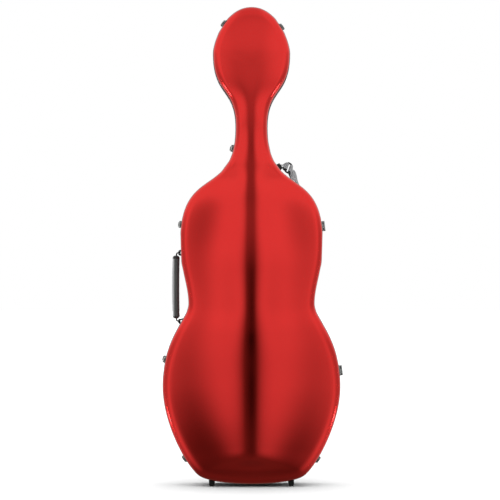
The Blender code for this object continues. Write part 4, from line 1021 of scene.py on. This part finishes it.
def frontLoops(node, side):
    # edges of the flat front of a cushion, as closed rings of points
    bm = opened(frame["nodes"][node].data, 0.00001)
    level = max(v.co.y * side for v in bm.verts)
    front = {f for f in bm.faces if all(abs(v.co.y * side - level) < 0.0001 for v in f.verts)}
    left = {e for e in bm.edges if len(front.intersection(e.link_faces)) == 1}
    loops = []
    while left:
        edge = left.pop()
        first, last = edge.verts
        ring = [first.co.copy(), last.co.copy()]
        while last != first:
            edge = next(e for e in last.link_edges if e in left)
            left.discard(edge)
            last = edge.other_vert(last)
            ring.append(last.co.copy())
        loops.append(ring)
    bm.free()
    return loops


def evenRing(ring, step):
    # same ring with points a step apart, corners rounded off
    lengths = [(b - a).length for a, b in zip(ring, ring[1:])]
    count = max(int(sum(lengths) / step), 12)
    points, k, gone = [], 0, 0.0
    for i in range(count):
        at = sum(lengths) * i / count
        while gone + lengths[k] < at:
            gone += lengths[k]
            k += 1
        points.append(ring[k].lerp(ring[k + 1], (at - gone) / max(lengths[k], 0.000001)))
    for _ in range(2):
        points = [(points[i - 1] + points[i] * 2 + points[(i + 1) % count]) / 4 for i in range(count)]
    return points


def applied(piece):
    graph = bpy.context.evaluated_depsgraph_get()
    piece.data = bpy.data.meshes.new_from_object(piece.evaluated_get(graph))
    piece.modifiers.clear()


def cover(node, smaller):
    # the cushion's shape in even quads, shrunk and with soft corners
    piece = addObject(node + "_cushion", toMesh(opened(frame["nodes"][node].data, 0.00001), node))
    even = piece.modifiers.new("even", "REMESH")
    even.mode = "VOXEL"
    even.voxel_size = sewing["fineGrid"] if node.startswith(("bow", "neck")) else sewing["grid"]
    applied(piece)
    bm = opened(piece.data)
    for _ in range(2):
        bmesh.ops.smooth_vert(bm, verts=bm.verts, factor=0.5, use_axis_x=True, use_axis_y=True,
                              use_axis_z=True)
    bm.normal_update()
    for v in bm.verts:
        v.co -= v.normal * smaller
    bm.to_mesh(piece.data)
    bm.free()
    return piece


covers = {node: cover(node, spec[0]) for node, spec in cushionSettings.items()}
resting = {node: [v.co.copy() for v in piece.data.vertices] for node, piece in covers.items()}
for node, piece in covers.items():
    lining = linings["lid" if node.startswith("bow") else "base"]
    held = piece.vertex_groups.new(name="held")
    near = [k for k, co in enumerate(resting[node]) if lining.find_nearest(co)[3] < sewing["held"]]
    held.add(near, 1.0, "REPLACE")
    cloth = piece.modifiers.new("stuffing", "CLOTH")
    cloth.settings.vertex_group_mass = "held"
    cloth.settings.use_pressure = True
    cloth.settings.uniform_pressure_force = sewing["pressure"]
    cloth.settings.effector_weights.gravity = 0.0
    cloth.settings.quality = 5
for k in range(sewing["frames"]):
    scene.frame_set(k + 1)
graph = bpy.context.evaluated_depsgraph_get()
for node, piece in covers.items():
    blown = [v.co.copy() for v in piece.evaluated_get(graph).data.vertices]
    piece.modifiers.clear()
    most = cushionSettings[node][1]
    for v, start, end in zip(piece.data.vertices, resting[node], blown):
        move = end - start
        v.co = start + move * min(1.0, most / max(move.length, 0.000001))
scene.frame_set(1)
for node, piece in covers.items():
    smooth = piece.modifiers.new("smooth", "SUBSURF")
    smooth.levels = smooth.render_levels = 1
    applied(piece)
    piece.vertex_groups.clear()
    bm = opened(piece.data)
    surface = surfaceOf(piece.data)
    for ring in frontLoops(node, cushionSettings[node][2]):
        points = [surface.find_nearest(point) for point in evenRing(ring, sewing["pipingStep"])]
        welt = roundBar([place + normal * sewing["piping"] * 0.4 for place, normal, face, far in points],
                        sewing["piping"], 8)
        bm.from_mesh(welt)
        bpy.data.meshes.remove(welt)
    bm.to_mesh(piece.data)
    bm.free()
    piece.data.shade_smooth()
    takeOver(piece, node)
print("cushions blown up and piped")


# Studio: pale floor, two tall softboxes beside the camera, dim light from behind and above
floorMesh = bpy.data.meshes.new("floor")
floorMesh.from_pydata([(-20, -20, 0), (20, -20, 0), (20, 20, 0), (-20, 20, 0)], [], [(0, 1, 2, 3)])
floorMesh.materials.append(finish("pale_floor", {
    "Base Color": colour("F4F4F4"), "Roughness": 0.9, "Specular IOR Level": 0.0}))
floor = addObject("floor", floorMesh)
floor.visible_glossy = False


world = bpy.data.worlds.new("studio")
scene.world = world
world.use_nodes = True
sky = world.node_tree
sky.nodes.clear()
direction = addNode(sky, "ShaderNodeTexCoord")
skyX, skyY, skyZ = addNode(sky, "ShaderNodeSeparateXYZ", links={0: direction.outputs["Generated"]}).outputs


def band(source, low, high, start=0.0, end=1.0):
    return mapped(sky, source, low, high, start, end, "SMOOTHSTEP")


def product(a, b, operation="MULTIPLY"):
    return maths(sky, a, b, operation)


def glowing(tint, strength=None):
    return addNode(sky, "ShaderNodeBackground", {"Color": (*tint, 1)},
                   {} if strength is None else {"Strength": strength}).outputs[0]


def chosen(ray, usual, other):
    # one light for this kind of ray, another for all the rest
    return addNode(sky, "ShaderNodeMixShader", links={0: rays[ray], 1: usual, 2: other}).outputs[0]


# softbox: side, where it begins and is full across, where it fades below, its share down there, power
boxSettings = {"left": (-1, 0.346, 0.779, -0.734, -0.384, 0.0, 0.66),
               "right": (1, 0.202, 0.794, -0.755, -0.405, 0.14, 0.64)}
# small bare lamps: direction, how wide they look, power
lampSettings = {"low": (0.945, 0.0, -0.33, 0.024, 10.0), "front": (0.898, -0.438, -0.03, 0.021, 10.0)}
room = {"dim": 0.142, "tint": (1.0, 1.08, 0.85), "topPower": 0.53, "topFrom": -0.05, "topTo": 0.72,
        "flagPower": 0.125, "flagHeight": -0.210, "flagWide": 0.365, "most": 0.68, "edgeFrom": 0.68,
        "edgeLeft": 0.50, "tentLow": 0.36, "tentHigh": 1.62, "floorFrom": -0.88, "floorLeft": 0.85}
rays = addNode(sky, "ShaderNodeLightPath").outputs
total = band(skyZ, room["topFrom"], room["topTo"], 0.0, room["topPower"])
for side, begin, full, fadeLow, fadeHigh, below, power in boxSettings.values():
    across = product(skyX, side)
    box = product(band(across, begin, full), band(skyZ, fadeLow, fadeHigh, below * power, power))
    box = product(box, band(across, room["edgeFrom"], 1.0, 1.0, room["edgeLeft"]))
    total = product(total, box, "ADD")
total = product(total, room["most"], "MINIMUM")
for x, y, z, wide, power in lampSettings.values():
    # both sides have one, so the x of a direction counts without its sign
    facing = product(product(skyX, 0.0, "ABSOLUTE"), x)
    for part in (product(skyY, y), product(skyZ, z)):
        facing = product(facing, part, "ADD")
    total = product(total, band(facing, 1 - wide**2, 1 - wide**2 / 4, 0.0, power), "ADD")
# black flag under the camera: the dark stripe and the dark hips come from it
low = product(skyZ, room["flagHeight"], "SUBTRACT")
away = product(product(skyX, skyX), product(low, low), "ADD")
flag = product(2.71828, product(away, -1 / room["flagWide"]**2), "POWER")
flag = product(product(flag, product(skyY, 0.0, "LESS_THAN")), -room["flagPower"])
ambient = product(product(flag, room["dim"], "ADD"), band(skyZ, -1.0, room["floorFrom"], room["floorLeft"]))
# light that leaves the floor and then meets the case is cut, so its shadow stays neutral
first = product(rays["Diffuse Depth"], 0.5, "LESS_THAN")
studio = addNode(sky, "ShaderNodeAddShader", links={
    0: glowing((1, 1, 1), product(total, first)), 1: glowing(room["tint"], product(ambient, first))})
# matt surfaces see an even white tent, so the floor is white and the shadow under the case is soft
tent = product(product(product(skyZ, 0.0, "MAXIMUM"), room["tentHigh"]), room["tentLow"], "ADD")
seen = chosen("Is Diffuse Ray", studio.outputs[0], glowing((1, 1, 1), tent))
seen = chosen("Is Camera Ray", seen, glowing((1, 1, 1)))
addNode(sky, "ShaderNodeOutputWorld", links={"Surface": seen})
world.cycles.sampling_method = "NONE"
scene.view_settings.view_transform = "Standard"
print("studio made")
